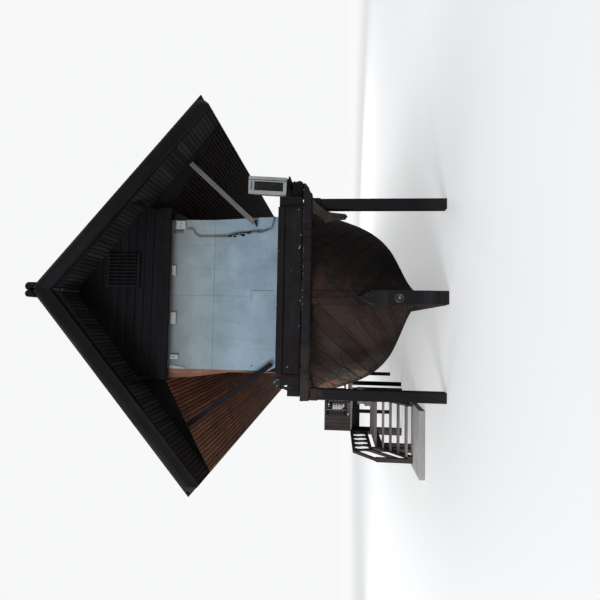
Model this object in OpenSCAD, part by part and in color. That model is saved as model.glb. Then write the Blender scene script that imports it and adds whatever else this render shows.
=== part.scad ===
// Cottage on a wooden barge hull, seen in the photo from its stern end.
// +Y runs forward along the keel, +X to starboard, +Z up.
// The origin is on the underside of the keel, halfway along it.

/* [Hull] */
// Length of the hull between its two end boards
hull_len = 12000; // [10500:100:14000]
// Half breadth of the planking at its top edge, amidships
hull_half = 1723; // [1600:1:1900]
// Height of the top edge of the planking
rail_h = 2050; // [1900:10:2300]
// Height of the keel under the planking
keel_top = 401; // [300:1:450]
// Half thickness of the keel
keel_half = 90; // [70:5:120]
// Thickness of the hull planks
plank_t = 38; // [25:1:60]
// Planks on each side
strakes = 12; // [9:1:15]
// Length over which the ends of the hull are shaped
entry_len = 2790; // [2400:10:3400]
// How high the seams would climb up the end posts
climb = 4750; // [3800:10:5200]

/* [Hull ends] */
// Half width of the board across each end
end_half = 1208; // [1100:1:1300]
// Width of the corner blocks beside the end board
block_w = 155; // [120:5:220]
// Height of the end board
end_board_h = 250; // [200:5:300]
// Height of the rub rail across each end
rub_h = 140; // [100:5:180]
// Side of the square support posts
post_w = 150; // [100:5:200]
// Distance of the posts from the centre line
post_x = 1350; // [1250:10:1450]

/* [Cabin] */
// Half width of the cabin at its end walls
cabin_end_half = 1120; // [1000:10:1160]
// Half width of the cabin amidships
cabin_mid_half = 1550; // [1400:10:1600]
// Thickness of the cabin walls
wall_t = 100; // [80:5:140]
// Top face of the cabin floor
floor_z = 1180; // [1000:10:1300]
// Thickness of the floor boards
floor_t = 40; // [30:5:60]
// Width of the side doorway
door_w = 900; // [750:10:1000]
// Clear height of the side doorway
door_h = 2000; // [1850:10:2100]
// Width of a window
window_w = 900; // [600:10:1100]
// Height of a window
window_h = 800; // [600:10:900]
// Sill height of the windows above the floor
sill_h = 1350; // [1250:10:1450]

/* [Roof] */
// Height of the ridge above ground
apex_h = 5870; // [5600:10:6200]
// Height of the roof's top face at the eaves
eave_h = 3485; // [3400:5:3700]
// Half width of the roof
roof_half = 2780; // [2650:10:2950]
// Roof overhang beyond the gable boards
overhang = 480; // [350:10:700]
// Thickness of the roof covering
roof_t = 42; // [30:1:60]
// Upright depth from the roof's top face to the lower edge of the barge boards
barge_depth = 285; // [240:5:330]
// Thickness of the barge boards
barge_t = 45; // [30:1:60]
// How far the roof is set to starboard of the hull's centre line
roof_shift = 40; // [0:5:60]
// Width of one soffit slat with its groove
slat_pitch = 52; // [45:1:80]

/* [Entrance] */
// Width of the veranda deck, out from the hull
deck_w = 1157; // [900:1:1300]
// Length of the veranda deck
deck_len = 2300; // [2000:10:2800]
// Height of the railings above the deck
railing_h = 610; // [550:10:900]
// Height of the concrete pad
pad_h = 100; // [60:5:150]
// Rise of one step
step_rise = 125; // [110:1:150]
// Run of one step
step_run = 170; // [150:5:250]
// Width of the lower stair
stair_w = 1000; // [800:10:1050]

/* [Hidden] */

// Gap left between pieces that seat on each other
seat = 0.3;
dark = [0.17, 0.14, 0.14];
weathered = [0.33, 0.28, 0.26];
varnished = [0.50, 0.30, 0.20];
plaster = [0.80, 0.84, 0.86];
concrete = [0.62, 0.60, 0.57];

half_len = hull_len / 2;
gable_y = half_len - 100;
wall_y = gable_y - 50;
deck_t = 40;
deck_z = rail_h + deck_t;
end_deck_z = rail_h + end_board_h + 100;
slope = (apex_h - eave_h) / roof_half;
door_y = -700;
end_wall_t = 60;
side_y = wall_y - end_wall_t - seat;
wall_shift = 35;
wall_port = wall_shift - cabin_end_half - seat;
wall_starboard = wall_shift + cabin_end_half + seat;
wall_lean = atan((cabin_mid_half - cabin_end_half) / side_y);
wall_len = side_y / cos(wall_lean);
brown_in_x = 1250;
brown_in_z = 4125;
brown_out_x = roof_half - 140;
brown_out_z = eave_h - 117;
brown_slope = (brown_in_z - brown_out_z) / (brown_out_x - brown_in_x);
gable_half = 1280;
gable_z = 4020;

// Repeats its child at both ends of the hull
module both_ends() {
    children();
    mirror([0, 1, 0]) children();
}

// Moves the roof and all that hangs on it to where the roof sits
module over_roof() {
    translate([roof_shift, 0, 0]) children();
}

// Repeats its child on both sides
module both_sides() {
    children();
    mirror([1, 0, 0]) children();
}

// A box given by its lowest and highest corners
module span(low, high) {
    translate(low) cube(high - low);
}

// An outline in X and Z, carried along Y from y0 to y1
module along_y(y0, y1) {
    translate([0, y1, 0]) rotate([90, 0, 0]) linear_extrude(y1 - y0) children();
}

// An outline in Y and Z, carried along X from x0 to x1
module along_x(x0, x1) {
    translate([x0, 0, 0]) rotate([90, 0, 90]) linear_extrude(x1 - x0) children();
}

// Hull form: cubic curve through four control points
function bezier(p, t) =
    pow(1 - t, 3) * p[0] + 3 * t * pow(1 - t, 2) * p[1]
    + 3 * t * t * (1 - t) * p[2] + pow(t, 3) * p[3];
function mid_section(t) = bezier([
    [keel_half + seat, keel_top],
    [0.804 * hull_half, keel_top + 15],
    [0.808 * hull_half, 0.503 * rail_h],
    [hull_half, rail_h]
], t);
function end_section(t) = [keel_half + seat, keel_top + climb * pow(t, 1.4)];
// Share of the full section that is reached at station y
function fullness(t, y) =
    let (s = min(1, max(0, (half_len - abs(y)) / entry_len)))
    pow(1 - pow(1 - s, 3.34), 0.59 - 0.235 * t + 0.465 * t * (1 - t));
function skin(t, y) =
    let (f = fullness(t, y)) end_section(t) * (1 - f) + mid_section(t) * f;
function unit(v) = v / norm(v);
function inward(t, y) =
    let (d = unit(skin(min(1, t + 0.02), y) - skin(max(0, t - 0.02), y))) [-d.y, d.x];

// Skins a list of closed rings, each with the same number of points
module loft(rings) {
    n = len(rings[0]);
    last = len(rings) - 1;
    polyhedron(
        points = [for (r = rings) each r],
        faces = concat(
            [[for (i = [0:n - 1]) i]],
            [for (k = [0:last - 1], i = [0:n - 1]) let (j = (i + 1) % n)
                each [
                    [k * n + i, (k + 1) * n + i, (k + 1) * n + j],
                    [k * n + i, (k + 1) * n + j, k * n + j]
                ]],
            [[for (i = [n - 1:-1:0]) last * n + i]]
        )
    );
}

// Caulked seam: groove on the face, planks close together behind it
seam_groove = 4;
function strake_ring(i, y) =
    let (
        t0 = i / strakes, t1 = (i + 1) / strakes,
        a0 = skin(t0, y), a1 = skin(t1, y),
        b0 = a0 + inward(t0, y) * plank_t, b1 = a1 + inward(t1, y) * plank_t,
        u = unit(a1 - a0), m0 = a0 + (b0 - a0) * 0.4, m1 = a1 + (b1 - a1) * 0.4
    )
    [for (p = [m0 + u * seat, b0 + u * seat, b1 - u * seat, m1 - u * seat,
               a1 - u * seam_groove, a0 + u * seam_groove]) [p.x, y, p.y]];

module strake(i, stations) {
    loft([for (y = stations) strake_ring(i, y)]);
}

planked_z = rail_h - seat;
module planking(stations) {
    intersection() {
        both_sides() for (i = [0:strakes - 1]) strake(i, stations);
        span([-2 * hull_half, -hull_len, 0], [2 * hull_half, hull_len, planked_z]);
    }
}

plank_end = half_len - seat;
join_y = half_len - entry_len;
end_stations = [for (k = [0:10]) -plank_end + (plank_end - join_y) * pow(k / 10, 1.6)];
mid_stations = [for (k = [0:4]) -join_y + seat + (2 * join_y - 2 * seat) * k / 4];

// Half breadth of the planks' outer face at height z, along the same chords as the planks
function chord_at(z, y) =
    lookup(z, [for (k = [0:strakes]) let (p = skin(k / strakes, y)) [p.y, p.x]]);
function hull_x(z, y) =
    abs(y) < join_y ? chord_at(z, 0) : lookup(-abs(y), [for (v = end_stations) [v, chord_at(z, v)]]);

module stern_planking() {
    color(weathered) planking(end_stations);
}

module bow_planking() {
    color(weathered) mirror([0, 1, 0]) planking(end_stations);
}

module side_strakes() {
    intersection() {
        for (i = [0:strakes - 1]) strake(i, mid_stations);
        span([0, -hull_len, 0], [2 * hull_half, hull_len, planked_z]);
    }
}

module port_planking() {
    color(weathered) difference() {
        mirror([1, 0, 0]) side_strakes();
        doorway(0);
    }
}

module starboard_planking() {
    color(weathered) side_strakes();
}

frames_from_end = [1800, 2800, 3800];
frame_stations = concat([for (d = frames_from_end) d - half_len], [0, 1200],
    [for (k = [2:-1:0]) half_len - frames_from_end[k]]);
frame_w = 60;
frame_d = 80;
function inside_pt(t, y, d) = skin(t, y) + inward(t, y) * (plank_t + 1 + d);
function frame_pt(t, y, d) =
    let (
        mid = abs(y) < join_y,
        at = mid ? [-join_y, join_y] : end_stations,
        v = mid ? y : -abs(y),
        x = lookup(v, [for (q = at) [q, inside_pt(t, q, d).x]]),
        z = lookup(v, [for (q = at) [q, inside_pt(t, q, d).y]])
    )
    [x, y, z];
module hull_frame(y) {
    loft([for (k = [1:strakes]) let (t = k / strakes)
        [frame_pt(t, y, 0), frame_pt(t, y + frame_w, 0),
         frame_pt(t, y + frame_w, frame_d), frame_pt(t, y, frame_d)]]);
}

module hull_frames() {
    color(dark) intersection() {
        both_sides() for (y = frame_stations) hull_frame(y - frame_w / 2);
        span([-hull_half, -half_len, 0], [hull_half, half_len, floor_z - floor_t - seat]);
    }
}

module keel() {
    color(dark) span([-keel_half, -half_len + seat, 0], [keel_half, half_len - seat, keel_top - seat]);
}

// Timber inside the hull: along the keel, and up between the plank ends
inner_half = keel_half - plank_t - 2;
module keelson() {
    color(dark) {
        span([-inner_half, -half_len + seat, keel_top], [inner_half, half_len - seat, keel_top + 110]);
        both_ends() span([-inner_half, -half_len + seat, keel_top], [inner_half, -half_len + 100, planked_z]);
    }
}

post_aft = 150;
shaft_z = 660;
shaft_r = 34;
module post_outline() {
    polygon([
        [-85, 0], [-85, 600], [-100, 700], [-125, 800], [-125, 975], [-60, 1120], [0, 1240],
        [60, 1120], [105, 975], [105, 0]
    ]);
}

// Stern post with the end of the shaft tube, and a plain post at the bow
module end_posts() {
    color(dark) {
        difference() {
            along_y(-half_len - post_aft, -half_len) post_outline();
            shaft_rod(shaft_r, 60, -1);
        }
        difference() {
            shaft_rod(shaft_r - seat, 66, -8);
            shaft_rod(0.6 * shaft_r, 40, -9);
        }
        along_y(half_len, half_len + post_aft) post_outline();
    }
}
module shaft_rod(r, long, from) {
    translate([10, -half_len - post_aft + from, shaft_z]) rotate([-90, 0, 0])
        cylinder(r = r, h = long, $fn = 32);
}

rub_top = rail_h - 15;
rub_low = rub_top - rub_h;
rub_out = 70;
rub_port = post_x + 115;
rub_starboard = post_x + 285;
module rub_profile() {
    r = 30;
    hull() {
        translate([0, rub_low]) square([rub_out / 2, rub_h]);
        for (z = [rub_low + r, rub_top - r]) translate([rub_out - r, z]) circle(r, $fn = 24);
    }
}

// Rails round the hull, with a bearing block over each post
module rub_rails() {
    color(dark) {
        both_ends() {
            intersection() {
                translate([0, -half_len, 0]) mirror([0, 1, 0])
                    along_x(-rub_port, rub_starboard) rub_profile();
                rotted_end();
            }
            both_sides() span([post_x - post_w / 2, -half_len - 1, rub_low],
                              [rub_port - 1, -half_len + 130, rub_top]);
        }
        difference() {
            both_sides() side_rail();
            doorway(60);
        }
    }
}
// What decay has left of the end rail, at its starboard end
module rotted_end() {
    along_y(-half_len - 2 * rub_out, -half_len + rub_out) translate([rub_starboard, rub_low]) polygon([
        [-4000, -10], [-165, -10], [-120, 30], [-55, 55], [-10, rub_h - 45], [10, rub_h - 20],
        [-25, rub_h + 10], [-4000, rub_h + 10]
    ]);
}
aft_rail_stations = [for (y = end_stations) if (y > -half_len + 600) y];
// How far the planks' rounding stands outside a straight line from the rail's lower to its upper edge
function rail_clear(y) = rail_gap + max([for (u = [0:0.1:1])
    hull_x(rub_low + u * rub_h, y) - (1 - u) * hull_x(rub_low, y) - u * hull_x(rub_top, y)]);
rail_gap = 2;
module side_rail() {
    n = len(aft_rail_stations) - 1;
    bevel = 20;
    loft([for (y = concat(aft_rail_stations, [for (k = [n:-1:0]) -aft_rail_stations[k]]))
        let (
            x0 = hull_x(rub_low, y) + rail_clear(y),
            x1 = hull_x(rub_top, y) + rail_clear(y),
            out = x1 + rub_out - bevel
        )
        [[x1, y, rub_top], [out, y, rub_top - bevel], [out, y, rub_low + bevel], [x0, y, rub_low]]]);
}

// Boards across each end: the wide one on edge, and the trim laid on it
trim_h = 95;
board_t = 60;
module end_boards() {
    color(dark) both_ends() {
        span([end_port, -half_len, rail_h], [end_starboard, -half_len + board_t, end_top]);
        span([end_port, -half_len - 25, end_top + seat], [end_starboard, -half_len + 90, end_top + trim_h]);
    }
}
end_top = rail_h + end_board_h;
end_shift = 102;
end_port = end_shift - end_half;
end_starboard = end_shift + end_half;

// Blocks beside the end boards, with what is left of the old timbers on and under them
low_block = end_top - 80;
module corner_blocks() {
    starboard = end_starboard + seat;
    port = end_port - seat;
    front = -half_len - 10;
    back = -half_len + 140;
    color(dark) {
        both_ends() {
            span([starboard, front, rail_h], [starboard + block_w, back, end_top + trim_h - 15]);
            span([port - block_w, front, rail_h], [port, back, end_top + 15]);
            span([port - 2 * block_w, front + 5, rail_h], [port - block_w - seat, back, low_block]);
            span([port - block_w - 30, front + 20, end_top + 15 + seat],
                 [port - 50, back - 30, end_top + 120]);
            along_y(front + 20, front + 100) translate([port - block_w - 31, low_block + seat])
                polygon([[0, 0], [0, 130], [-12, 132], [-25, 60], [-45, 0]]);
        }
        old_knee();
    }
}

// Crooked knee left under the rub rail, in front of the starboard post
module old_knee() {
    along_y(-half_len - rub_out, -half_len - 30 - seat) translate([post_x, rub_low - seat]) polygon([
        [60, 0], [-45, -105], [-110, -190], [-138, -270], [-150, -370], [-160, -470], [-195, -500],
        [-240, -465], [-250, -300], [-285, -180], [-215, -150], [-140, 0]
    ]);
}

pad_drop = 110;
post_shift = 25;
post_y = -half_len - 20;
module support_posts() {
    color(dark) both_ends() for (x = [-post_x - post_shift, post_x]) translate([x - post_w / 2, post_y, 0]) {
        span([0, 0, 0], [post_w, post_w, rub_low - pad_drop]);
        span([-10, -10, rub_low - pad_drop], [post_w + 10, post_w - 10, rub_low - seat]);
    }
}

function cabin_x(y) =
    cabin_end_half + (cabin_mid_half - cabin_end_half) * (1 - min(1, abs(y) / side_y));
deck_stations = [for (k = [0:32]) (half_len - 140 - seat) * (k / 16 - 1)];
module side_deck() {
    translate([0, 0, rail_h]) linear_extrude(deck_t) polygon(concat(
        [for (y = deck_stations) [cabin_x(y) - wall_t, y]],
        [for (k = [32:-1:0]) let (y = deck_stations[k]) [max(rub_port - 20, hull_x(rail_h, y) + 25), y]]
    ));
}

module doorway(side) {
    span([-3000, door_y - door_w / 2 - side, floor_z],
         [-800, door_y + door_w / 2 + side, floor_z + door_h]);
}

module side_decks() {
    color(dark) difference() {
        both_sides() side_deck();
        doorway(6);
    }
}

module end_decks() {
    color(dark) both_ends() {
        span([-cabin_end_half - 20, -half_len + 90 + seat, end_deck_z - 50],
             [cabin_end_half + 100, -side_y - seat, end_deck_z]);
        span([seat - cabin_end_half + wall_t, -side_y - 2 * seat, end_deck_z - 50],
             [cabin_end_half - wall_t - seat, -half_len + 600, end_deck_z]);
    }
}

floor_inset = plank_t + frame_d + 20;
floor_stations = [for (k = [0:20]) 5200 * (k / 10 - 1)];
function floor_half(y) = max(inner_half + 10, hull_x(floor_z - floor_t, y) - floor_inset);
module cabin_floor() {
    color(varnished) translate([0, 0, floor_z - floor_t]) linear_extrude(floor_t) polygon(concat(
        [for (y = floor_stations) [floor_half(y), y]],
        [for (k = [20:-1:0]) [-floor_half(floor_stations[k]), floor_stations[k]]]
    ));
}

// Everything below the sloping eave soffits
soffit_in_x = cabin_end_half - 20;
function brown_z(x) = brown_in_z - (x - brown_in_x) * brown_slope;
module under_soffit() {
    translate([roof_shift, 0, 0]) along_y(-half_len, half_len) polygon([
        [-3000, 0], [3000, 0], [3000, brown_z(3000)], [soffit_in_x, brown_z(soffit_in_x)],
        [-soffit_in_x, brown_z(soffit_in_x)], [-3000, brown_z(3000)]
    ]);
}

// Places its child in the plane of one wall panel: x runs from the end corner towards
// amidships, y outwards and z up
module on_panel(side, end) {
    mirror([side > 0 ? 0 : 1, 0, 0]) mirror([0, end > 0 ? 1 : 0, 0])
        translate([cabin_end_half, -side_y, 0]) rotate([0, 0, 90 - wall_lean]) mirror([0, 1, 0]) children();
}

module panel(from, to, low, high) {
    translate([from, -wall_t, low]) cube([to - from, wall_t, high - low]);
}

window_z = floor_z + sill_h;
wall_top = gable_z + 300;
wall_foot = deck_z + seat;
first_window = 1300;
window_step = 1700;
long_panel = [for (k = [0:2]) first_window + k * window_step];
door_panel = [for (k = [0:1]) first_window + k * window_step];
module wall_panel(places, from, to) {
    difference() {
        panel(from, to, wall_foot, wall_top);
        for (x = places) translate([x - window_w / 2, -wall_t - 10, window_z])
            cube([window_w, wall_t + 20, window_h]);
    }
}

door_mid = (side_y + door_y) / cos(wall_lean);
module port_walls() {
    color(varnished) {
        intersection() {
            union() {
                on_panel(-1, 1) wall_panel(long_panel, 0, wall_len - seat);
                on_panel(-1, -1) {
                    wall_panel(door_panel, 0, door_mid - door_w / 2);
                    panel(door_mid - door_w / 2 + seat, door_mid + door_w / 2 - seat,
                          floor_z + door_h, wall_top);
                    panel(door_mid + door_w / 2, wall_len - seat, wall_foot, wall_top);
                }
            }
            under_soffit();
        }
        corner_board() polygon([
            [wall_port, gable_z - 1], [wall_port - 140, gable_z - 1],
            [wall_port - 105, gable_z - 410], [wall_port, gable_z - 1120]
        ]);
    }
}

module starboard_walls() {
    color(varnished) {
        intersection() {
            for (end = [-1, 1]) on_panel(1, end) wall_panel(long_panel, 0, wall_len - seat);
            under_soffit();
        }
        corner_board() polygon([
            [wall_starboard, gable_z - 1], [wall_starboard + 120, gable_z - 1],
            [wall_starboard + 75, gable_z - 140], [wall_starboard, gable_z - 260]
        ]);
    }
}

// Tapered board that closes the corner beside an end wall
module corner_board() {
    both_ends() along_y(-wall_y, -side_y - seat) children();
}

// Frame of the doorway, with cheeks that run out through the hull planks
jamb = 50;
module door_frame() {
    half = door_w / 2 - seat;
    color(dark) {
        intersection() {
            on_panel(-1, -1) difference() {
                translate([door_mid - half, -wall_t - 15, floor_z + seat])
                    cube([2 * half, wall_t + 30, door_h - 2 * seat]);
                translate([door_mid - half + jamb, -wall_t - 16, floor_z])
                    cube([2 * half - 2 * jamb, wall_t + 32, door_h - jamb]);
            }
            doorway(-seat);
        }
        for (side = [-1, 1]) translate([0, door_y + side * (half - jamb / 2), 0]) intersection() {
            mirror([1, 0, 0]) along_x(cabin_x(door_y) - wall_t / 2, 2000)
                translate([-jamb / 2, floor_z + seat]) square([jamb, deck_z - floor_z]);
            along_y(-jamb, jamb) polygon([
                for (t = [0.6:0.05:1]) [-skin(t, door_y).x - 15, skin(t, door_y).y],
                [-skin(1, door_y).x - 15, deck_z + 20], [0, deck_z + 20], [0, skin(0.6, door_y).y]
            ]);
        }
        span([-hull_x(floor_z, door_y), door_y - half, floor_z + seat],
             [-hull_x(floor_z, door_y) + 200, door_y + half, floor_z + 20]);
    }
}

module at_windows() {
    for (end = [-1, 1]) {
        on_panel(1, end) for (x = long_panel) translate([x, 0, 0]) children();
        on_panel(-1, end) for (x = end < 0 ? door_panel : long_panel) translate([x, 0, 0]) children();
    }
}

frame_bar = 55;
module window_frames() {
    half = window_w / 2 - seat;
    color(dark) at_windows() difference() {
        translate([-half, -wall_t - 10, window_z + seat])
            cube([2 * half, wall_t + 25, window_h - 2 * seat]);
        translate([frame_bar - half, -wall_t - 11, window_z + frame_bar])
            cube([2 * half - 2 * frame_bar, wall_t + 27, window_h - 2 * frame_bar]);
    }
}

module window_panes() {
    half = window_w / 2 - frame_bar - 2 * seat;
    color([0.55, 0.62, 0.65, 0.5]) at_windows()
        translate([-half, -wall_t / 2 - 3, window_z + frame_bar + seat])
            cube([2 * half, 6, window_h - 2 * frame_bar - 2 * seat]);
}

// White end wall: its starboard edge spreads towards the foot
module end_wall() {
    spread = 50;
    along_y(-wall_y, end_wall_t - wall_y) polygon([
        [wall_port + seat, end_deck_z + seat], [wall_starboard - seat + spread, end_deck_z + seat],
        [wall_starboard - seat, floor_z + door_h + 170], [wall_starboard - seat, gable_z + 100],
        [wall_port + seat, gable_z + 100]
    ]);
}

module stern_wall() {
    color(plaster) end_wall();
}

module bow_wall() {
    color(plaster) mirror([0, 1, 0]) end_wall();
}

function roof_z(x, depth = 0) = apex_h - slope * abs(x) - depth;
roof_end = gable_y + overhang;
roof_v = roof_t * sqrt(1 + slope * slope) + seat;
ridge_drop = 420;
ridge_half = 25;

// Lapped boards of the gable, notched for the ridge beam
lap = 130;
module gable_boards() {
    top = roof_z(gable_half, roof_v);
    color(dark) over_roof() both_ends() intersection() {
        along_y(-gable_y, -wall_y - seat) difference() {
            polygon([
                [-gable_half, gable_z], [gable_half, gable_z], [gable_half, top],
                [0, roof_z(0, roof_v)], [-gable_half, top]
            ]);
            translate([-ridge_half - seat, roof_z(0, ridge_drop + seat)])
                square([2 * ridge_half + 2 * seat, 500]);
        }
        along_x(-gable_half, gable_half) for (z = [gable_z + 20:lap:apex_h])
            polygon([
                [-gable_y, z], [-gable_y + 14, z + lap - seat], [-wall_y, z + lap - seat], [-wall_y, z]
            ]);
    }
}

module gable_beams() {
    color(dark) over_roof() both_ends() {
        span([-gable_half, -gable_y - 62, gable_z], [gable_half, -gable_y - seat, gable_z + 80]);
        span([-gable_half, -gable_y - 40, gable_z + 80 + seat], [gable_half, -gable_y - seat, gable_z + 150]);
    }
}

vent_low = [120, 4490];
vent_high = [625, 5000];
vent_bars = 9;
module gable_vents() {
    bar = 35;
    bay = (vent_high.x - vent_low.x - bar) / vent_bars;
    color(dark) both_ends() along_y(-gable_y - 25, -gable_y - seat) difference() {
        translate(vent_low) square(vent_high - vent_low);
        for (i = [0:vent_bars - 1]) translate([vent_low.x + bar + i * bay, vent_low.y + bar])
            square([bay - bar / 2, vent_high.y - vent_low.y - 2 * bar]);
    }
}

// The covering thins out to its edge over the last stretch
eave_edge = 20;
edge_x = roof_half - 50;
module roof_slopes() {
    under = seat - roof_v;
    color(dark) over_roof() both_sides() along_y(-roof_end, roof_end)
        polygon([
            [seat, apex_h], [roof_half, eave_h], [roof_half, eave_h - eave_edge],
            [edge_x, roof_z(edge_x) + under], [seat, apex_h + under]
        ]);
}

// Two rolls along the ridge, flattened where they lie on the roof
roll_r = 50;
roll_x = 58;
module ridge_rolls() {
    lie = (roll_x * slope + 12) / sqrt(1 + slope * slope) - seat;
    far = roof_end + 30;
    color(dark) over_roof() both_sides() along_y(-far, far) translate([roll_x, apex_h + 12]) difference() {
        circle(r = roll_r, $fn = 32);
        rotate(-atan(slope)) translate([-2 * roll_r, -2 * roll_r - lie]) square([4 * roll_r, 2 * roll_r]);
    }
}

module ridge_beam() {
    color(dark) over_roof() span([-ridge_half, -roof_end + barge_t + seat, roof_z(0, ridge_drop)],
                                 [ridge_half, roof_end - barge_t - seat, roof_z(ridge_half, roof_v)]);
}

soffit_thick = 35;
rafter_places = [-4800, -3200, -1600, 0, 1600, 3200, 4800];
module rafters() {
    color(varnished) over_roof() both_sides() for (y = rafter_places) along_y(y - 30, y + 30) intersection() {
        polygon([
            [ridge_half + seat, roof_z(0, roof_v + 180)], [ridge_half + seat, roof_z(ridge_half, roof_v)],
            [eave_in, roof_z(eave_in, roof_v)], [eave_in, roof_z(eave_in, roof_v + 180)]
        ]);
        polygon([
            [0, 1.2 * apex_h], [eave_in, 1.2 * apex_h],
            [eave_in, brown_z(eave_in) + soffit_rise], [0, brown_z(0) + soffit_rise]
        ]);
    }
}
soffit_rise = soffit_thick + 2 * seat;
eave_in = brown_out_x - seat;

module barge_outline(bottom) {
    difference() {
        polygon([
            [seat, roof_z(seat, roof_v)], [eave_in, roof_z(eave_in, roof_v)],
            [eave_in, roof_z(eave_in, bottom)], [seat, roof_z(seat, bottom)]
        ]);
        translate([0, brown_out_z - 303]) square([3000, 300]);
    }
}

module barge_boards() {
    color(dark) over_roof() both_ends() both_sides() translate([0, -roof_end, 0]) {
        along_y(0, barge_t) barge_outline(barge_depth);
        along_y(-22, 0) barge_outline(135);
    }
}

// Wedges that close the eaves and carry the covering out to its thin edge
module eave_boards() {
    in = eave_in + seat;
    color(dark) over_roof() both_sides() along_y(-roof_end, roof_end) polygon([
        [in, brown_out_z], [in + 12, brown_out_z + 2], [edge_x, roof_z(edge_x, roof_v)],
        [in, roof_z(in, roof_v)]
    ]);
}

// Outline of a slatted soffit from x0 to x1 under a sloping line, grooved below
module slats(x0, x1, z0, fall) {
    drop = (x1 - x0) * fall;
    difference() {
        polygon([[x0, z0], [x1, z0 - drop], [x1, z0 - drop + soffit_thick], [x0, z0 + soffit_thick]]);
        for (x = [slat_pitch / 2:slat_pitch:x1 - x0 - 10]) translate([x0 + x, z0 - x * fall])
            polygon([[-6, 6 * fall - 12], [6, -6 * fall - 12], [6, 12 - 6 * fall], [-6, 12 + 6 * fall]]);
    }
}

// Gable soffit: falls a little less steeply than the roof, and meets the eave soffit at the eave
soffit_fall = 0.8;
function soffit_z(x) = brown_out_z + soffit_fall * (brown_out_x - x);
module gable_soffits() {
    x0 = ridge_half + seat;
    color(dark) over_roof() both_ends() both_sides() difference() {
        along_y(-roof_end + barge_t + seat, -wing_y - seat)
            slats(x0, eave_in, soffit_z(x0), soffit_fall);
        span([0, -gable_y - seat, 0], [gable_half + seat, 0, apex_h]);
    }
}

module eave_soffits() {
    color(varnished) over_roof() both_sides() along_y(wing_t + seat - wing_y, wing_y - wing_t - seat)
        slats(soffit_in_x, eave_in, brown_z(soffit_in_x) + seat, brown_slope);
}

wing_y = gable_y - 120;
wing_t = 20;
module wing_boards() {
    from = gable_half + seat;
    color(dark) over_roof() both_ends() both_sides() along_y(-wing_y, wing_t - wing_y)
        polygon([
            [from, brown_z(from)], [eave_in, brown_z(eave_in)],
            [eave_in, roof_z(eave_in, roof_v)], [from, roof_z(from, roof_v)]
        ]);
}

// Brace from the end wall up to the wing board; its head reaches back to that board
brace_w = 70;
brace_d = 60;
brace_head = 110;
module brace(foot, head) {
    d = head - foot;
    long = norm(d);
    back = -wall_y - seat;
    translate([foot.x, 0, foot.y]) rotate([0, -atan2(d.y, d.x), 0]) {
        span([0, back - brace_d, -brace_w / 2], [long, back, brace_w / 2]);
        span([long - brace_head, back - brace_d / 2, -brace_w / 2], [long, -wing_y - seat, brace_w / 2]);
    }
}

module knee_braces() {
    color(dark) both_ends() {
        mirror([1, 0, 0]) brace([980, 2470], [1920, 3715]);
        brace([1110, 2780], [2010, 3757]);
    }
}

module gable_struts() {
    back = -gable_y - seat;
    top = soffit_z(gable_half);
    color(dark) over_roof() both_ends() both_sides() intersection() {
        translate([gable_half - 45, 0, 0]) along_x(0, 45) polygon([
            [back, top - 196], [back, top - 126], [back - 400, top + 104], [back - 430, top + 104],
            [back - 430, top + 24]
        ]);
        along_y(-roof_end, -gable_y) polygon([
            [0, 0], [gable_half, 0],
            [gable_half, soffit_z(gable_half) - seat], [0, soffit_z(0) - seat]
        ]);
    }
}

// Small things fixed to the stern wall, and the lantern on the port post
module fittings() {
    face = -wall_y - seat;
    color(plaster) {
        span([-940, face - 30, 3880], [-880, face, 4000]);
        span([-420, face - 30, 3920], [-260, face, 4015]);
        span([310, face - 20, 3950], [460, face, 4010]);
        span([1030, face - 60, 3830], [1150, face, 4010]);
        span([1050, face - 60, 2730], [1155, face, 2755]);
        span([-60, face - 6, 2450], [100, face, 2790]);
        translate([lantern_x, post_y + post_w / 2, lantern_z]) lantern();
    }
}

// Caged lantern that hangs from an arm on the post: round glass foot, three rings and a cap
lantern_x = -1537;
lantern_z = rail_h - 636;
module lantern() {
    arm_z = 224;
    rotate_extrude($fn = 32) polygon([
        [0, 0], [18, 3], [31, 18], [36, 36], [44, 38], [44, 46], [36, 48], [36, 76], [44, 78], [44, 86],
        [36, 88], [36, 116], [44, 118], [44, 126], [36, 128], [36, 155], [47, 160], [47, 184],
        [28, 200], [9, 204], [9, arm_z + 16], [0, arm_z + 16]
    ]);
    span([0, -8, arm_z], [-post_x - post_shift - post_w / 2 - seat - lantern_x, 8, arm_z + 16]);
}

// Outdoor unit, turned and leaning on a plank and bearers whose ends have rotted away
shelf_x = end_starboard + block_w + 2 * seat;
shelf_top = end_top - 10;
shelf_low = shelf_top - 80;
lean = 3.5;
turn = 14;
unit_in = 18;
module aircon_unit() {
    color([0.82, 0.84, 0.83]) translate([shelf_x + unit_in, -half_len + 10, shelf_top - unit_in * tan(lean)])
        rotate([0, lean, 0]) rotate([0, 0, -turn]) translate([0, 0, seat]) cube([250, 760, 565]);
}

module aircon_shelf() {
    deck_end = -half_len + 140;
    bearer_end = -half_len + 600;
    color(dark) {
        along_y(-half_len, bearer_end) translate([shelf_x, shelf_top]) polygon([
            [0, 0], [255, -255 * tan(lean)], [285, -30], [312, -52], [262, -60], [240, -82], [205, -70],
            [150, -62], [95, -80], [0, -80]
        ]);
        along_y(-half_len + 20, deck_end) translate([shelf_x, rail_h]) polygon([
            [0, 0], [150, 0], [185, 22], [225, 18], [238, 60], [222, 100], [236, 130], [190, 158],
            [130, 135], [80, 158 - seat], [0, 158 - seat]
        ]);
        span([shelf_x, deck_end, deck_z + seat], [shelf_x + 215, bearer_end, shelf_low - seat]);
    }
}

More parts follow.
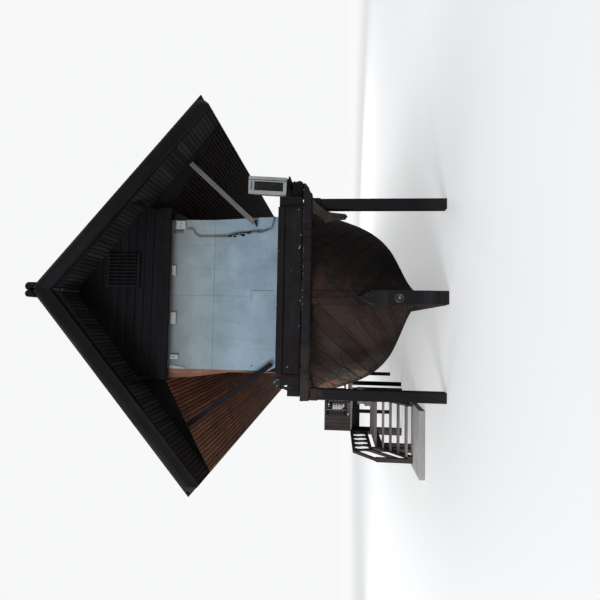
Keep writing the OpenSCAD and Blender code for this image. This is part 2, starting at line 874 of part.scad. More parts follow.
landing_len = 1470;
deck_out_x = -hull_half - deck_w;
veranda_x = -(hull_half + rub_out + 10);
veranda_y = door_y - 940;
stair_x = deck_out_x + 40;
landing_y = veranda_y - landing_len;
stair_y = landing_y - 4 * step_run - 60;
landing_z = pad_h + 5 * step_rise;
upper_rise = (floor_z - landing_z) / 3;
tread_t = 35;

module stair_frame() {
    color(dark) {
        for (x = [stair_x, stair_x + stair_w - 40]) translate([x, 0, 0]) along_x(0, 40) polygon([
            [stair_y, pad_h], [stair_y + 130, pad_h], [landing_y, landing_z - 170],
            [landing_y, landing_z - tread_t - seat], [landing_y - 90, landing_z - tread_t - seat],
            [stair_y, pad_h + 80]
        ]);
        for (x = [stair_x, stair_x + stair_w - 80]) for (y = [landing_y, veranda_y - 100])
            span([x, y, 0], [x + 80, y + 80, landing_z - tread_t - seat]);
        for (x = [stair_x, stair_x + stair_w - 80])
            span([x, landing_y + 80, landing_z - 150], [x + 80, veranda_y - 100, landing_z - tread_t - seat]);
    }
}

module stair_treads() {
    in_x = stair_x + stair_w - 360;
    mid_z = landing_z + upper_rise;
    color(varnished) {
        for (i = [0:3])
            translate([stair_x + 40 + seat, stair_y + i * step_run, pad_h + (i + 1) * step_rise - tread_t])
                cube([stair_w - 80 - 2 * seat, step_run + 20, tread_t]);
        span([stair_x, landing_y, landing_z - tread_t], [stair_x + stair_w, veranda_y - seat, landing_z]);
        span([in_x, veranda_y - 500, landing_z + seat], [in_x + 360, veranda_y - seat, mid_z]);
        span([in_x, veranda_y - 250, mid_z + seat], [in_x + 360, veranda_y - seat, mid_z + upper_rise]);
    }
}

deck_board = 40;
module veranda_deck() {
    out = 6;
    stations = [for (k = [0:8]) veranda_y + deck_len * k / 8];
    color(dark) translate([0, 0, floor_z - deck_board]) linear_extrude(deck_board) polygon(concat(
        [[deck_out_x, veranda_y], [deck_out_x, veranda_y + deck_len]],
        [for (k = [8:-1:0]) [-hull_x(floor_z, stations[k]) - out, stations[k]]]
    ));
}

beam_h = 90;
module veranda_frame() {
    low = floor_z - deck_board - beam_h;
    high = floor_z - deck_board - seat;
    color(dark) for (x = [deck_out_x + 10, veranda_x]) {
        for (y = [veranda_y + 10, veranda_y + deck_len - 100]) span([x, y, 0], [x + 90, y + 90, high]);
        span([x, veranda_y + 10, low], [x + 90, veranda_y + deck_len - 10, high]);
    }
}

// Railing along X from 0: posts, two rails and upright balusters
module railing(long, high, low, count) {
    post = 70;
    bar = 40;
    for (x = [0, long - post]) translate([x, 0, 0]) cube([post, post, high]);
    for (z = [low, high - 50]) translate([0, 10, z]) cube([long, 50, 50]);
    step = (long - 2 * post) / (count + 1);
    if (count > 0) for (k = [1:count]) translate([post + k * step - bar / 2, 15, low])
        cube([bar, 40, high - low - 10]);
}

module railings() {
    rail_x = stair_x - 80;
    color(dark) {
        translate([deck_out_x + seat, veranda_y, floor_z + seat]) cube([360, 45, railing_h]);
        translate([deck_out_x + 361, veranda_y, floor_z + seat]) railing(330, railing_h, 60, 0);
        translate([deck_out_x + 70, veranda_y + 46, floor_z + seat]) rotate([0, 0, 90])
            railing(deck_len - 117, railing_h, 60, 16);
        translate([deck_out_x + 71, veranda_y + deck_len - 70, floor_z + seat])
            railing(deck_w - 180, railing_h, 60, 7);
        stair_railing(rail_x);
    }
}

hand_z = landing_z + 455;
module stair_railing(x) {
    front = stair_y + 10;
    back = veranda_y - seat;
    low_z = landing_z + 60;
    span([x, stair_y, pad_h], [x + 80 - seat, stair_y + 80, pad_h + 670]);
    translate([x + 15, 0, 0]) along_x(0, 50) {
        polygon([
            [front, pad_h + 610], [landing_y - 200, hand_z - 60], [back, hand_z - 60],
            [back, hand_z], [landing_y - 230, hand_z], [stair_y, pad_h + 680]
        ]);
        polygon([
            [front, pad_h + 120], [front, pad_h + 190], [landing_y - 130, low_z + 60], [back, low_z + 60],
            [back, low_z], [landing_y - 100, low_z]
        ]);
    }
    bars = 10;
    step = (landing_len + 20) / (bars - 1);
    for (k = [0:bars - 1]) translate([x + 20, landing_y - 190 + k * step, 0])
        span([0, 0, low_z + 20], [40, 60, hand_z - 20]);
    span([x, landing_y - 40, 0], [x + 80 - seat, landing_y + 40, low_z + 50]);
    span([x, veranda_y - 90, 0], [x + 80 - seat, veranda_y - 10, hand_z - 10]);
}

module concrete_pad() {
    color(concrete)
        span([stair_x - 160, stair_y - 650, 0], [stair_x + stair_w + 10, stair_y + 200, pad_h - seat]);
}

keel();
keelson();
end_posts();
stern_planking();
port_planking();
starboard_planking();
bow_planking();
hull_frames();
rub_rails();
end_boards();
corner_blocks();
support_posts();
side_decks();
end_decks();
cabin_floor();
stern_wall();
bow_wall();
port_walls();
starboard_walls();
door_frame();
window_frames();
window_panes();
gable_boards();
gable_beams();
gable_vents();
roof_slopes();
ridge_rolls();
ridge_beam();
rafters();
barge_boards();
eave_boards();
gable_soffits();
eave_soffits();
wing_boards();
knee_braces();
gable_struts();
fittings();
aircon_unit();
aircon_shelf();
stair_frame();
stair_treads();
veranda_deck();
veranda_frame();
railings();
concrete_pad();
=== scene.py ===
"""The look of the cottage on a barge hull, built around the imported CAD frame."""
import bpy
import bmesh
import math
import random
from mathutils import Matrix, Vector, noise


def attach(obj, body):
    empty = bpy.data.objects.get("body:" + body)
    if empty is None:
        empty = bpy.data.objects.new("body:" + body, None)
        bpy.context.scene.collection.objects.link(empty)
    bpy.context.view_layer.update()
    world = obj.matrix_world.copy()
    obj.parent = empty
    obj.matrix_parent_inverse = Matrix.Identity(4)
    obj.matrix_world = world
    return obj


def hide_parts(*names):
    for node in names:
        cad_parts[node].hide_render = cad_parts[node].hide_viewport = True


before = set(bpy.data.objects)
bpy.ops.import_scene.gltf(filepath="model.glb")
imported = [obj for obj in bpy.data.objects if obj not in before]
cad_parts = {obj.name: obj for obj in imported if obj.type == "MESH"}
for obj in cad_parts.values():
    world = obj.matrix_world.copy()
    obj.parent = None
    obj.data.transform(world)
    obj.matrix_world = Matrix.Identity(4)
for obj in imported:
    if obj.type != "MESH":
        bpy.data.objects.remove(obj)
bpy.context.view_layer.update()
rnd = random.Random(11)

# Measures in metres, the same as in the part's source
HALF = 6.0
RAIL_H, FLOOR_Z = 2.05, 1.18
DOOR = (-1.15, -0.25)
CABIN_X, CABIN_SWELL, CABIN_END = 1.12, 0.43, 5.7897
APEX, EAVE, ROOF_HALF, ROOF_END, SHIFT = 5.87, 3.485, 2.78, 6.38, 0.04
SLOPE = (APEX - EAVE) / ROOF_HALF
GABLE_Y, WALL_Y, WING_Y = 5.9, 5.85, 5.78
EAVE_IN, EAVE_Z, SOFFIT_RISE = 2.64, 3.368, 0.8
SOFFIT_IN, SOFFIT_END = EAVE_IN - 0.0003, ROOF_END - 0.0453
BROWN_X, BROWN_Z = 1.25, 4.125
BROWN_FALL = (BROWN_Z - EAVE_Z) / (EAVE_IN - BROWN_X)

# Directions for grain and outlines, and the faces of a block of eight points in three orders:
# x fastest then y then z, three nested pairs, and two rings of four
ACROSS, ALONG, UPRIGHT = (1, 0, 0), (0, 1, 0), (0, 0, 1)
BOX_FACES = [(0, 2, 3, 1), (4, 5, 7, 6), (0, 1, 5, 4), (2, 6, 7, 3), (0, 4, 6, 2), (1, 3, 7, 5)]
PAIR_FACES = [(0, 1, 3, 2), (4, 6, 7, 5), (0, 2, 6, 4), (1, 5, 7, 3), (0, 4, 5, 1), (2, 3, 7, 6)]
RING_FACES = [(0, 1, 2, 3), (7, 6, 5, 4), (0, 4, 5, 1), (1, 5, 6, 2), (2, 6, 7, 3), (3, 7, 4, 0)]


def roof_z(x, depth=0.0):
    return APEX - SLOPE * abs(x) - depth


def brown_z(x):
    return BROWN_Z - (abs(x) - BROWN_X) * BROWN_FALL


def soffit_z(x):
    return EAVE_Z + SOFFIT_RISE * (EAVE_IN - abs(x))


def angles(n, more=0, turn=2 * math.pi):
    """n even steps of a turn, and more past them."""
    return [turn * k / n for k in range(n + more)]


def ring(at, r, n, axis, r2=None):
    """A closed ring of n + 1 points in the plane across the axis, oval where r2 is given."""
    points = []
    for a in angles(n, 1):
        offset = [r * math.cos(a), (r if r2 is None else r2) * math.sin(a)]
        offset.insert(axis, 0.0)
        points.append([c + d for c, d in zip(at, offset)])
    return points


def loft(rows, n, flip=False):
    """The faces of a skin over rows of n points, with a face at either end."""
    faces = [[r * n + i, r * n + (i + 1) % n, (r + 1) * n + (i + 1) % n, (r + 1) * n + i]
             for r in range(rows - 1) for i in range(n)]
    first, last = list(range(n)), list(range((rows - 1) * n, rows * n))
    return faces + ([first[::-1], last] if flip else [first, last[::-1]])


# Shader building
class Shader:
    """A material's node tree, written as short calls."""

    def __init__(self, name, rough=0.7, gloss=0.35):
        self.mat = bpy.data.materials.new(name)
        self.mat.use_nodes = True
        self.nt = self.mat.node_tree
        self.bsdf = self.nt.nodes["Principled BSDF"]
        self.bsdf.inputs["Roughness"].default_value = rough
        self.bsdf.inputs["Specular IOR Level"].default_value = gloss

    def node(self, kind, inputs=(), **props):
        """A node with its properties set, and its inputs from (name or number, value) pairs."""
        n = self.nt.nodes.new(kind)
        for key, value in props.items():
            setattr(n, key, value)
        for key, value in inputs:
            self.put(n.inputs[key], value)
        return n

    def put(self, socket, value):
        if isinstance(value, bpy.types.NodeSocket):
            self.nt.links.new(value, socket)
        elif value is not None:
            if hasattr(value, "__len__") and len(value) == 3 and socket.type == "RGBA":
                value = (*value, 1)
            socket.default_value = value

    def coords(self, kind):
        return self.node("ShaderNodeTexCoord").outputs[kind]

    def scaled(self, vec, scale):
        return self.node("ShaderNodeMapping", (("Vector", vec), ("Scale", scale))).outputs[0]

    def noise(self, vec, scale, detail=5, rough=0.55, distort=0.0):
        inputs = (("Vector", vec), ("Scale", scale), ("Detail", detail), ("Roughness", rough),
                  ("Distortion", distort))
        return self.node("ShaderNodeTexNoise", inputs).outputs["Fac"]

    def voronoi(self, vec, scale):
        return self.node("ShaderNodeTexVoronoi", (("Vector", vec), ("Scale", scale))).outputs["Distance"]

    def ramp(self, fac, *stops):
        n = self.node("ShaderNodeValToRGB", ((0, fac),))
        for e, (pos, col) in zip(n.color_ramp.elements, stops):
            e.position = pos
            e.color = (col, col, col, 1) if isinstance(col, (int, float)) else (*col, 1)
        return n.outputs[0]

    def stretch(self, value, lo, hi, to_lo, to_hi, **props):
        """Maps the range lo to hi onto to_lo to to_hi."""
        inputs = ((0, value), (1, lo), (2, hi), (3, to_lo), (4, to_hi))
        return self.node("ShaderNodeMapRange", inputs, **props).outputs[0]

    def math(self, op, a, b):
        return self.node("ShaderNodeMath", ((0, a), (1, b)), operation=op).outputs[0]

    def mix(self, fac, a, b):
        inputs = (("Factor", fac), (6, a), (7, b))
        return self.node("ShaderNodeMix", inputs, data_type="RGBA").outputs[2]

    def axis(self, vec, i):
        return self.node("ShaderNodeSeparateXYZ", ((0, vec),)).outputs[i]

    def length(self, vec, origin=(0, 0, 0)):
        inputs = ((0, vec), (1, origin))
        return self.node("ShaderNodeVectorMath", inputs, operation="DISTANCE").outputs["Value"]

    def bump(self, height, strength, dist):
        inputs = (("Strength", strength), ("Distance", dist), ("Height", height))
        return self.node("ShaderNodeBump", inputs).outputs[0]

    def done(self, color, rough, normal=None, **more):
        for key, value in {"Base Color": color, "Roughness": rough, "Normal": normal, **more}.items():
            self.put(self.bsdf.inputs[key.replace("_", " ")], value)
        return self.mat


def wood(name, dark, light, rough=(0.55, 0.85), vary=0.35, stain=None, stain_amount=0.5, cracks=0.5,
         grain=1.0, pale=None, pale_amount=0.0, damp=0.0, flecks=0.0, wear_and_shade_patches=(), gloss=0.18):
    """Timber whose grain runs along u of the UV map. The tone attribute tints each board.
    Patches are listed as (x, y, z, size, colour, amount): worn patches, which flake where their colour is
    pale, and patches of painted shade where their colour is near black."""
    s = Shader(name, gloss=gloss)
    uv, obj = s.coords("UV"), s.coords("Object")
    tone = s.node("ShaderNodeAttribute", attribute_name="tone").outputs["Fac"]
    fine = s.noise(s.scaled(uv, (1.3 * grain, 46 * grain, 1)), 1.0, 6, 0.6, 0.4)
    coarse = s.noise(s.scaled(uv, (0.55, 9, 1)), 1.0, 4, 0.5, 1.2)
    both = s.math("ADD", s.math("MULTIPLY", fine, 0.55), s.math("MULTIPLY", coarse, 0.45))
    col = s.ramp(both, (0.30, dark), (0.70, light))
    if stain is not None:
        blot = s.noise(s.scaled(obj, (1, 1, 1.4)), 1.7, 6, 0.62, 0.6)
        col = s.mix(s.ramp(blot, (0.42, 0.0), (0.66, stain_amount)), col, stain)
    if pale is not None:
        worn = s.noise(s.scaled(uv, (2.2, 11, 1)), 1.0, 7, 0.7)
        col = s.mix(s.ramp(worn, (0.58, 0.0), (0.72, pale_amount)), col, pale)
    lit = s.math("ADD", s.math("MULTIPLY", tone, vary), 1.0 - vary / 2)
    col = s.node("ShaderNodeHueSaturation", (("Value", lit), ("Color", col))).outputs[0]
    split = s.ramp(s.noise(s.scaled(uv, (0.8, 60, 1)), 1.0, 2, 0.5, 0.25), (0.66, 0.0), (0.70, 1.0))
    where = s.ramp(s.noise(s.scaled(uv, (1.5, 3, 1)), 1.0, 3), (0.52, 0.0), (0.62, 1.0))
    crack = s.math("MULTIPLY", s.math("MULTIPLY", split, where), cracks)
    col = s.mix(crack, col, tuple(0.25 * c for c in dark))
    if damp:
        height = s.math("ADD", s.axis(obj, 2), s.math("MULTIPLY", s.noise(obj, 5, 4), 0.3))
        col = s.mix(s.ramp(height, (0.12, damp), (0.55, 0.0)), col, (0.16, 0.12, 0.085))
    # Each patch mixes in its colour: worn paint or bare wood where pale, painted shade where near black.
    for x, y, z, size, tint, amount in wear_and_shade_patches:
        away = s.math("MULTIPLY", s.length(obj, (x, y, z)), 0.5 / size)
        edge = s.math("MULTIPLY", s.noise(obj, 7, 6, 0.7), 0.6)
        mask = s.ramp(s.math("ADD", away, edge), (0.50, amount), (0.66, 0.0))
        if tint[0] > 0.12:
            flakes = s.noise(s.scaled(uv, (3, 12, 1)), 1.0, 5, 0.65)
            mask = s.math("MULTIPLY", mask, s.ramp(flakes, (0.44, 0.1), (0.50, 1.0)))
        col = s.mix(mask, col, tint)
    if flecks:
        dots = s.ramp(s.voronoi(obj, 23), (0.035, flecks), (0.06, 0.0))
        some = s.ramp(s.noise(obj, 1.9, 3), (0.55, 0.0), (0.6, 1.0))
        col = s.mix(s.math("MULTIPLY", dots, some), col, (0.75, 0.74, 0.72))
    roughness = s.math("ADD", s.math("MULTIPLY", fine, rough[1] - rough[0]), rough[0])
    height = s.math("SUBTRACT", s.math("MULTIPLY", fine, 0.35), crack)
    return s.done(col, roughness, s.bump(height, 0.55, 0.004))


# Patches of the hull: the first three paint shade over its starboard side and bilge, the rest are worn
# patches. Then worn patches of the rail and of the port post's head
HULL_WEAR_AND_SHADE = (
    (0.75, -5.45, 0.85, 1.7, (0.010, 0.008, 0.008), 0.62),
    (1.25, -5.1, 1.45, 0.9, (0.014, 0.011, 0.010), 0.45),
    (0.60, -5.5, 0.55, 0.8, (0.007, 0.006, 0.006), 0.8),
    (-0.95, -5.75, 1.70, 0.55, (0.075, 0.064, 0.054), 0.6),
    (-1.20, -5.20, 1.45, 0.32, (0.070, 0.072, 0.062), 0.7),
    (-1.40, -4.90, 1.60, 0.42, (0.300, 0.150, 0.115), 0.9),
    (-1.27, -4.95, 1.20, 0.42, (0.190, 0.145, 0.110), 0.85),
    (-1.0, -5.2, 0.92, 0.40, (0.062, 0.058, 0.050), 0.6),
    (-0.3, -5.9, 1.55, 0.45, (0.085, 0.045, 0.034), 0.35),
    (-0.6, -5.7, 1.1, 0.40, (0.070, 0.042, 0.033), 0.35),
    (0.25, -6.0, 1.85, 0.25, (0.095, 0.050, 0.038), 0.6),
    (1.40, -4.9, 1.7, 0.30, (0.130, 0.110, 0.090), 0.7))
RAIL_PEEL = ((-1.35, -6.05, 1.98, 0.42, (0.080, 0.064, 0.053), 0.8),
             (-0.85, -6.05, 1.99, 0.30, (0.070, 0.058, 0.048), 0.6))
POST_PEEL = ((-1.375, -6.02, 1.87, 0.26, (0.070, 0.050, 0.041), 0.9),)

MAT = {
    # The hull's patches include painted shade over its starboard side and bilge.
    "hull": wood("weathered_hull", (0.023, 0.013, 0.011), (0.082, 0.046, 0.037), (0.6, 0.9), 0.6,
                 (0.045, 0.038, 0.037), 0.7, 0.9, pale=(0.25, 0.165, 0.13), pale_amount=0.5, damp=0.15,
                 flecks=0.9, wear_and_shade_patches=HULL_WEAR_AND_SHADE),
    # Dark-stained boards, made darker still to paint the shade that lies under the roof.
    "dark": wood("dark_stained_timber_and_painted_shade", (0.0055, 0.0048, 0.006), (0.016, 0.0138, 0.0165), (0.45, 0.75), 0.5,
                 (0.026, 0.027, 0.032), 0.35, 0.6),
    "shade": wood("shaded_soffit_boards", (0.023, 0.021, 0.0215), (0.064, 0.058, 0.059), (0.5, 0.8), 0.6,
                  (0.054, 0.050, 0.048), 0.4, 0.4),
    "beam": wood("weathered_beam", (0.011, 0.0085, 0.009), (0.033, 0.026, 0.027), (0.5, 0.8), 0.35,
                 (0.036, 0.038, 0.046), 0.6, 0.8, pale=(0.13, 0.11, 0.10), pale_amount=0.35, flecks=1.0),
    "rub": wood("rough_rail_timber", (0.014, 0.011, 0.011), (0.046, 0.037, 0.037), (0.6, 0.9), 0.3,
                (0.040, 0.042, 0.050), 0.7, 1.0, pale=(0.13, 0.11, 0.09), pale_amount=0.5, flecks=0.8,
                wear_and_shade_patches=RAIL_PEEL),
    "plate": wood("painted_plate", (0.016, 0.016, 0.022), (0.042, 0.042, 0.054), (0.45, 0.7), 0.6,
                  (0.050, 0.034, 0.028), 0.5, 0.4),
    "post": wood("post_timber", (0.013, 0.011, 0.014), (0.030, 0.025, 0.031), (0.5, 0.8), 0.25,
                 (0.022, 0.020, 0.024), 0.4, 0.5, damp=0.18, wear_and_shade_patches=POST_PEEL),
    "post_end": wood("stem_post_timber", (0.016, 0.013, 0.014), (0.050, 0.041, 0.041), (0.5, 0.8), 0.35,
                     (0.032, 0.030, 0.034), 0.6, 0.8, pale=(0.13, 0.105, 0.095), pale_amount=0.4, damp=0.3,
                     flecks=0.8),
    # Weathered eave boards; the same paler material paints light on the ridge batten.
    "eave": wood("weathered_eave_and_painted_light", (0.040, 0.034, 0.029), (0.095, 0.082, 0.072), (0.6, 0.9), 0.4,
                 (0.040, 0.035, 0.030), 0.5, 0.6),
    "verge": wood("mossy_verge", (0.020, 0.017, 0.015), (0.070, 0.058, 0.045), (0.7, 0.95), 0.5,
                  (0.055, 0.062, 0.024), 0.6, 0.3),
    "brown": wood("varnished_boards", (0.200, 0.088, 0.054), (0.560, 0.275, 0.168), (0.35, 0.6), 0.7,
                  (0.070, 0.036, 0.026), 0.5, 0.3, gloss=0.4),
    # A darker copy of the varnished boards, which paints the shade on the starboard side.
    "brown_painted_shade": wood("varnished_boards_painted_shade", (0.008, 0.0052, 0.0046), (0.026, 0.0172, 0.0145), (0.4, 0.65), 0.6,
                       (0.010, 0.009, 0.009), 0.55, 0.3),
    "grey": wood("grey_brace", (0.20, 0.19, 0.19), (0.36, 0.345, 0.34), (0.5, 0.7), 0.2, (0.15, 0.13, 0.12),
                 0.4, 0.3),
    "deck": wood("worn_deck", (0.20, 0.16, 0.14), (0.46, 0.39, 0.35), (0.6, 0.85), 0.4, (0.10, 0.08, 0.07),
                 0.5, 0.6),
    # A paler copy of the deck boards, which paints sunlight on the stair treads and the veranda deck.
    "tread": wood("treads_with_painted_sunlight", (0.30, 0.265, 0.25), (0.64, 0.58, 0.55), (0.6, 0.85), 0.4,
                  (0.17, 0.15, 0.14), 0.45, 0.6),
    "shingle": wood("mossy_shingle", (0.030, 0.026, 0.022), (0.105, 0.088, 0.070), (0.7, 0.95), 0.8,
                    (0.045, 0.060, 0.022), 0.7, 0.5),
    "rot": wood("rotten_timber", (0.034, 0.027, 0.022), (0.120, 0.096, 0.078), (0.7, 0.95), 0.4,
                (0.024, 0.019, 0.017), 0.8, 1.0, 0.8, (0.20, 0.17, 0.14), 0.6),
    "rot_dark": wood("rotten_dark_timber", (0.006, 0.005, 0.005), (0.026, 0.021, 0.019), (0.7, 0.95), 0.5,
                     (0.050, 0.042, 0.036), 0.4, 1.0, 0.8),
    "green": wood("old_green_paint", (0.022, 0.036, 0.034), (0.060, 0.085, 0.080), (0.5, 0.8), 0.3,
                  (0.030, 0.026, 0.026), 0.7, 0.8, pale=(0.5, 0.52, 0.5), pale_amount=0.5),
    "rail": wood("railing_timber", (0.078, 0.057, 0.057), (0.185, 0.145, 0.142), (0.5, 0.8), 0.5,
                 (0.07, 0.06, 0.06), 0.4, 0.4),
}


def plaster():
    """White sheets with painted skylight, bluish low down and warmer higher up, darker towards the top, with
    streaks, scuffs and chips.
    """
    s = Shader("stained_white_wall_with_painted_light")
    obj = s.coords("Object")
    z = s.axis(obj, 2)
    patchy = s.noise(obj, 2.1, 7, 0.62, 0.3)
    # Painted light: a bluish skylight tint low on the wall, warmer higher up.
    cool = s.ramp(patchy, (0.30, (0.37, 0.50, 0.60)), (0.72, (0.58, 0.75, 0.88)))
    warm = s.ramp(patchy, (0.30, (0.36, 0.43, 0.46)), (0.72, (0.53, 0.61, 0.64)))
    col = s.mix(s.ramp(s.math("MULTIPLY", z, 0.2), (0.60, 0.0), (0.74, 1.0)), cool, warm)
    streak = s.noise(s.scaled(obj, (9, 1, 0.7)), 1.0, 5, 0.6)
    col = s.mix(s.ramp(streak, (0.55, 0.0), (0.80, 0.45)), col, (0.30, 0.33, 0.33))
    scuff = s.noise(s.scaled(obj, (1, 1, 2.2)), 7, 8, 0.72)
    col = s.mix(s.ramp(scuff, (0.58, 0.0), (0.70, 0.5)), col, (0.27, 0.30, 0.31))
    # Darker towards the top of the wall.
    height = s.math("ADD", z, s.math("MULTIPLY", s.noise(obj, 3.1, 5), 0.35))
    col = s.mix(s.stretch(height, 3.85, 4.25, 0.0, 0.75), col, (0.21, 0.21, 0.18))
    spots = s.ramp(s.voronoi(obj, 9), (0.05, 1.0), (0.085, 0.0))
    chip = s.math("MULTIPLY", spots, s.ramp(s.noise(obj, 2.6, 3), (0.60, 0.0), (0.66, 1.0)))
    col = s.mix(chip, col, (0.14, 0.12, 0.11))
    relief = s.math("SUBTRACT", s.math("MULTIPLY", s.noise(obj, 60, 3), 0.25), chip)
    return s.done(col, 0.75, s.bump(relief, 0.5, 0.004))


def flat(name, a, b, rough, scale, metal=0.0, bump=0.15):
    """A plain surface between two colours, with some grime."""
    s = Shader(name)
    obj = s.coords("Object")
    patchy = s.noise(obj, scale, 6, 0.6, 0.2)
    grime = s.ramp(s.noise(obj, scale * 2.7, 7, 0.7), (0.60, 0.0), (0.78, 0.5))
    col = s.mix(grime, s.ramp(patchy, (0.3, a), (0.7, b)), tuple(0.45 * c for c in a))
    roughness = s.math("ADD", s.math("MULTIPLY", patchy, 0.3), rough - 0.15)
    return s.done(col, roughness, s.bump(s.noise(obj, scale * 9, 3), bump, 0.003), Metallic=metal)


def glass():
    """Dusty window panes."""
    s = Shader("window_glass", 0.04)
    obj = s.coords("Object")
    dust = s.ramp(s.noise(obj, 3.0, 5), (0.45, 0.03), (0.75, 0.22))
    col = s.ramp(s.noise(obj, 2.0, 3), (0.3, (0.50, 0.58, 0.60)), (0.7, (0.66, 0.72, 0.73)))
    return s.done(col, dust, Transmission_Weight=0.85, IOR=1.45)


MAT["wall"] = plaster()
MAT["glass"] = glass()
# Pale concrete, made paler still to paint the sunlight on the pad.
MAT["concrete"] = flat("cast_concrete_painted_sunlight", (0.66, 0.635, 0.59), (0.86, 0.84, 0.80), 0.85, 3.0, bump=0.5)
MAT["casing"] = flat("painted_casing", (0.44, 0.46, 0.47), (0.60, 0.62, 0.63), 0.42, 3.0)
MAT["coil"] = flat("dark_coil", (0.065, 0.062, 0.056), (0.13, 0.124, 0.112), 0.5, 9.0, 0.5)
MAT["hole"] = flat("dark_opening", (0.018, 0.018, 0.019), (0.035, 0.035, 0.036), 0.7, 9.0)
MAT["conduit"] = flat("grey_conduit", (0.20, 0.21, 0.21), (0.36, 0.38, 0.38), 0.5, 12.0)
MAT["black"] = flat("old_black_tape", (0.010, 0.010, 0.011), (0.030, 0.030, 0.032), 0.6, 20.0)
MAT["lamp"] = flat("milky_lamp_glass", (0.84, 0.83, 0.80), (0.93, 0.92, 0.90), 0.25, 5.0)
MAT["white"] = flat("old_white_paint", (0.55, 0.56, 0.55), (0.74, 0.75, 0.74), 0.6, 7.0)
MAT["steel"] = flat("worn_steel", (0.16, 0.155, 0.15), (0.36, 0.35, 0.34), 0.4, 14.0, 0.85)
MAT["gap"] = flat("open_gap", (0.001, 0.001, 0.001), (0.003, 0.003, 0.003), 0.9, 20.0)
MAT["caulk"] = flat("dark_caulking", (0.012, 0.009, 0.008), (0.030, 0.022, 0.018), 0.85, 20.0)


# Mesh building
def add(name, data):
    ob = bpy.data.objects.new(name, data)
    bpy.context.scene.collection.objects.link(ob)
    return ob


class Piece:
    """Collects solids, each with its own grain direction and tone, and makes one object of them."""

    def __init__(self, name):
        self.name, self.v, self.f, self.uv, self.tone, self.smooth = name, [], [], [], [], []

    def solid(self, verts, faces, grain, tone=None, uv=None, smooth=False):
        """Adds one solid. Its UVs run along the grain, but end grain is small and square."""
        base = len(self.v)
        tone = rnd.random() if tone is None else tone
        off = Vector((rnd.uniform(0, 40), rnd.uniform(0, 40)))
        grain = Vector(grain).normalized()
        verts = [Vector(p) for p in verts]
        self.v += verts
        self.tone += [tone] * len(verts)
        for face in faces:
            self.f.append([base + i for i in face])
            self.smooth.append(smooth)
            pts = [verts[i] for i in face]
            n = sum((a.cross(b) for a, b in zip(pts, pts[1:] + pts[:1])), Vector())
            n = n.normalized() if n.length > 1e-12 else Vector(UPRIGHT)
            if abs(n.dot(grain)) > 0.85:
                side = n.orthogonal().normalized()
                other = n.cross(side)
                self.uv += [Vector((p.dot(side) * 6, p.dot(other))) + off for p in pts]
            elif uv is not None:
                self.uv += [Vector(uv[i]) + off for i in face]
            else:
                side = n.cross(grain).normalized()
                self.uv += [Vector((p.dot(grain), p.dot(side))) + off for p in pts]

    def box(self, a, b, grain=ACROSS, tone=None, matrix=None, wobble=0.0):
        """A box between two corners, each of its own corners drawn in by up to the wobble."""
        lo, hi = Vector([min(p, q) for p, q in zip(a, b)]), Vector([max(p, q) for p, q in zip(a, b)])
        mid = (lo + hi) / 2
        pts = [Vector((hi.x if i & 1 else lo.x, hi.y if i & 2 else lo.y, hi.z if i & 4 else lo.z))
               for i in range(8)]
        if wobble:
            pts = [p + Vector([rnd.uniform(-wobble, 0) * (1 if p[k] > mid[k] else -1) for k in range(3)])
                   for p in pts]
        if matrix is not None:
            pts = [matrix @ p for p in pts]
            grain = matrix.to_3x3() @ Vector(grain)
        self.solid(pts, BOX_FACES, grain, tone)

    def prism(self, outline, axis, a, b, grain=UPRIGHT, tone=None):
        """A convex outline carried along an axis: outline points are the other two coordinates in order."""
        def at(p, d):
            q = list(p)
            q.insert(axis, d)
            return Vector(q)
        n = len(outline)
        verts = [at(p, a) for p in outline] + [at(p, b) for p in outline]
        faces = [list(range(n)), list(range(2 * n - 1, n - 1, -1))]
        faces += [[i, i + n, (i + 1) % n + n, (i + 1) % n] for i in range(n)]
        self.solid(verts, faces, grain, tone)

    def tube(self, points, r, sides=10, tone=None):
        """A round bar along a line of points."""
        points = [Vector(p) for p in points]
        verts = []
        for i, p in enumerate(points):
            d = (points[min(i + 1, len(points) - 1)] - points[max(i - 1, 0)]).normalized()
            s = d.orthogonal().normalized() if i == 0 else (s - s.dot(d) * d).normalized()
            t = d.cross(s)
            verts += [p + r * (math.cos(a) * s + math.sin(a) * t) for a in angles(sides)]
        self.solid(verts, loft(len(points), sides, True), points[-1] - points[0], tone, smooth=True)

    def make(self, material, bevel, *replaces):
        """Makes the object and has it stand for the CAD nodes that it replaces."""
        mesh = bpy.data.meshes.new(self.name)
        mesh.from_pydata([tuple(p) for p in self.v], [], self.f)
        mesh.uv_layers.new(name="UVMap").data.foreach_set("uv", [c for uv in self.uv for c in uv])
        mesh.attributes.new("tone", "FLOAT", "POINT").data.foreach_set("value", self.tone)
        mesh.polygons.foreach_set("use_smooth", self.smooth)
        bm = bmesh.new()
        bm.from_mesh(mesh)
        bmesh.ops.recalc_face_normals(bm, faces=bm.faces)
        bm.to_mesh(mesh)
        bm.free()
        mesh.materials.append(MAT[material])
        ob = add(self.name, mesh)
        if bevel:
            m = ob.modifiers.new("worn_edges", "BEVEL")
            m.width, m.segments, m.limit_method, m.angle_limit = bevel, 2, "ANGLE", math.radians(30)
            m.harden_normals = False
        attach(ob, "root")
        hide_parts(*replaces)


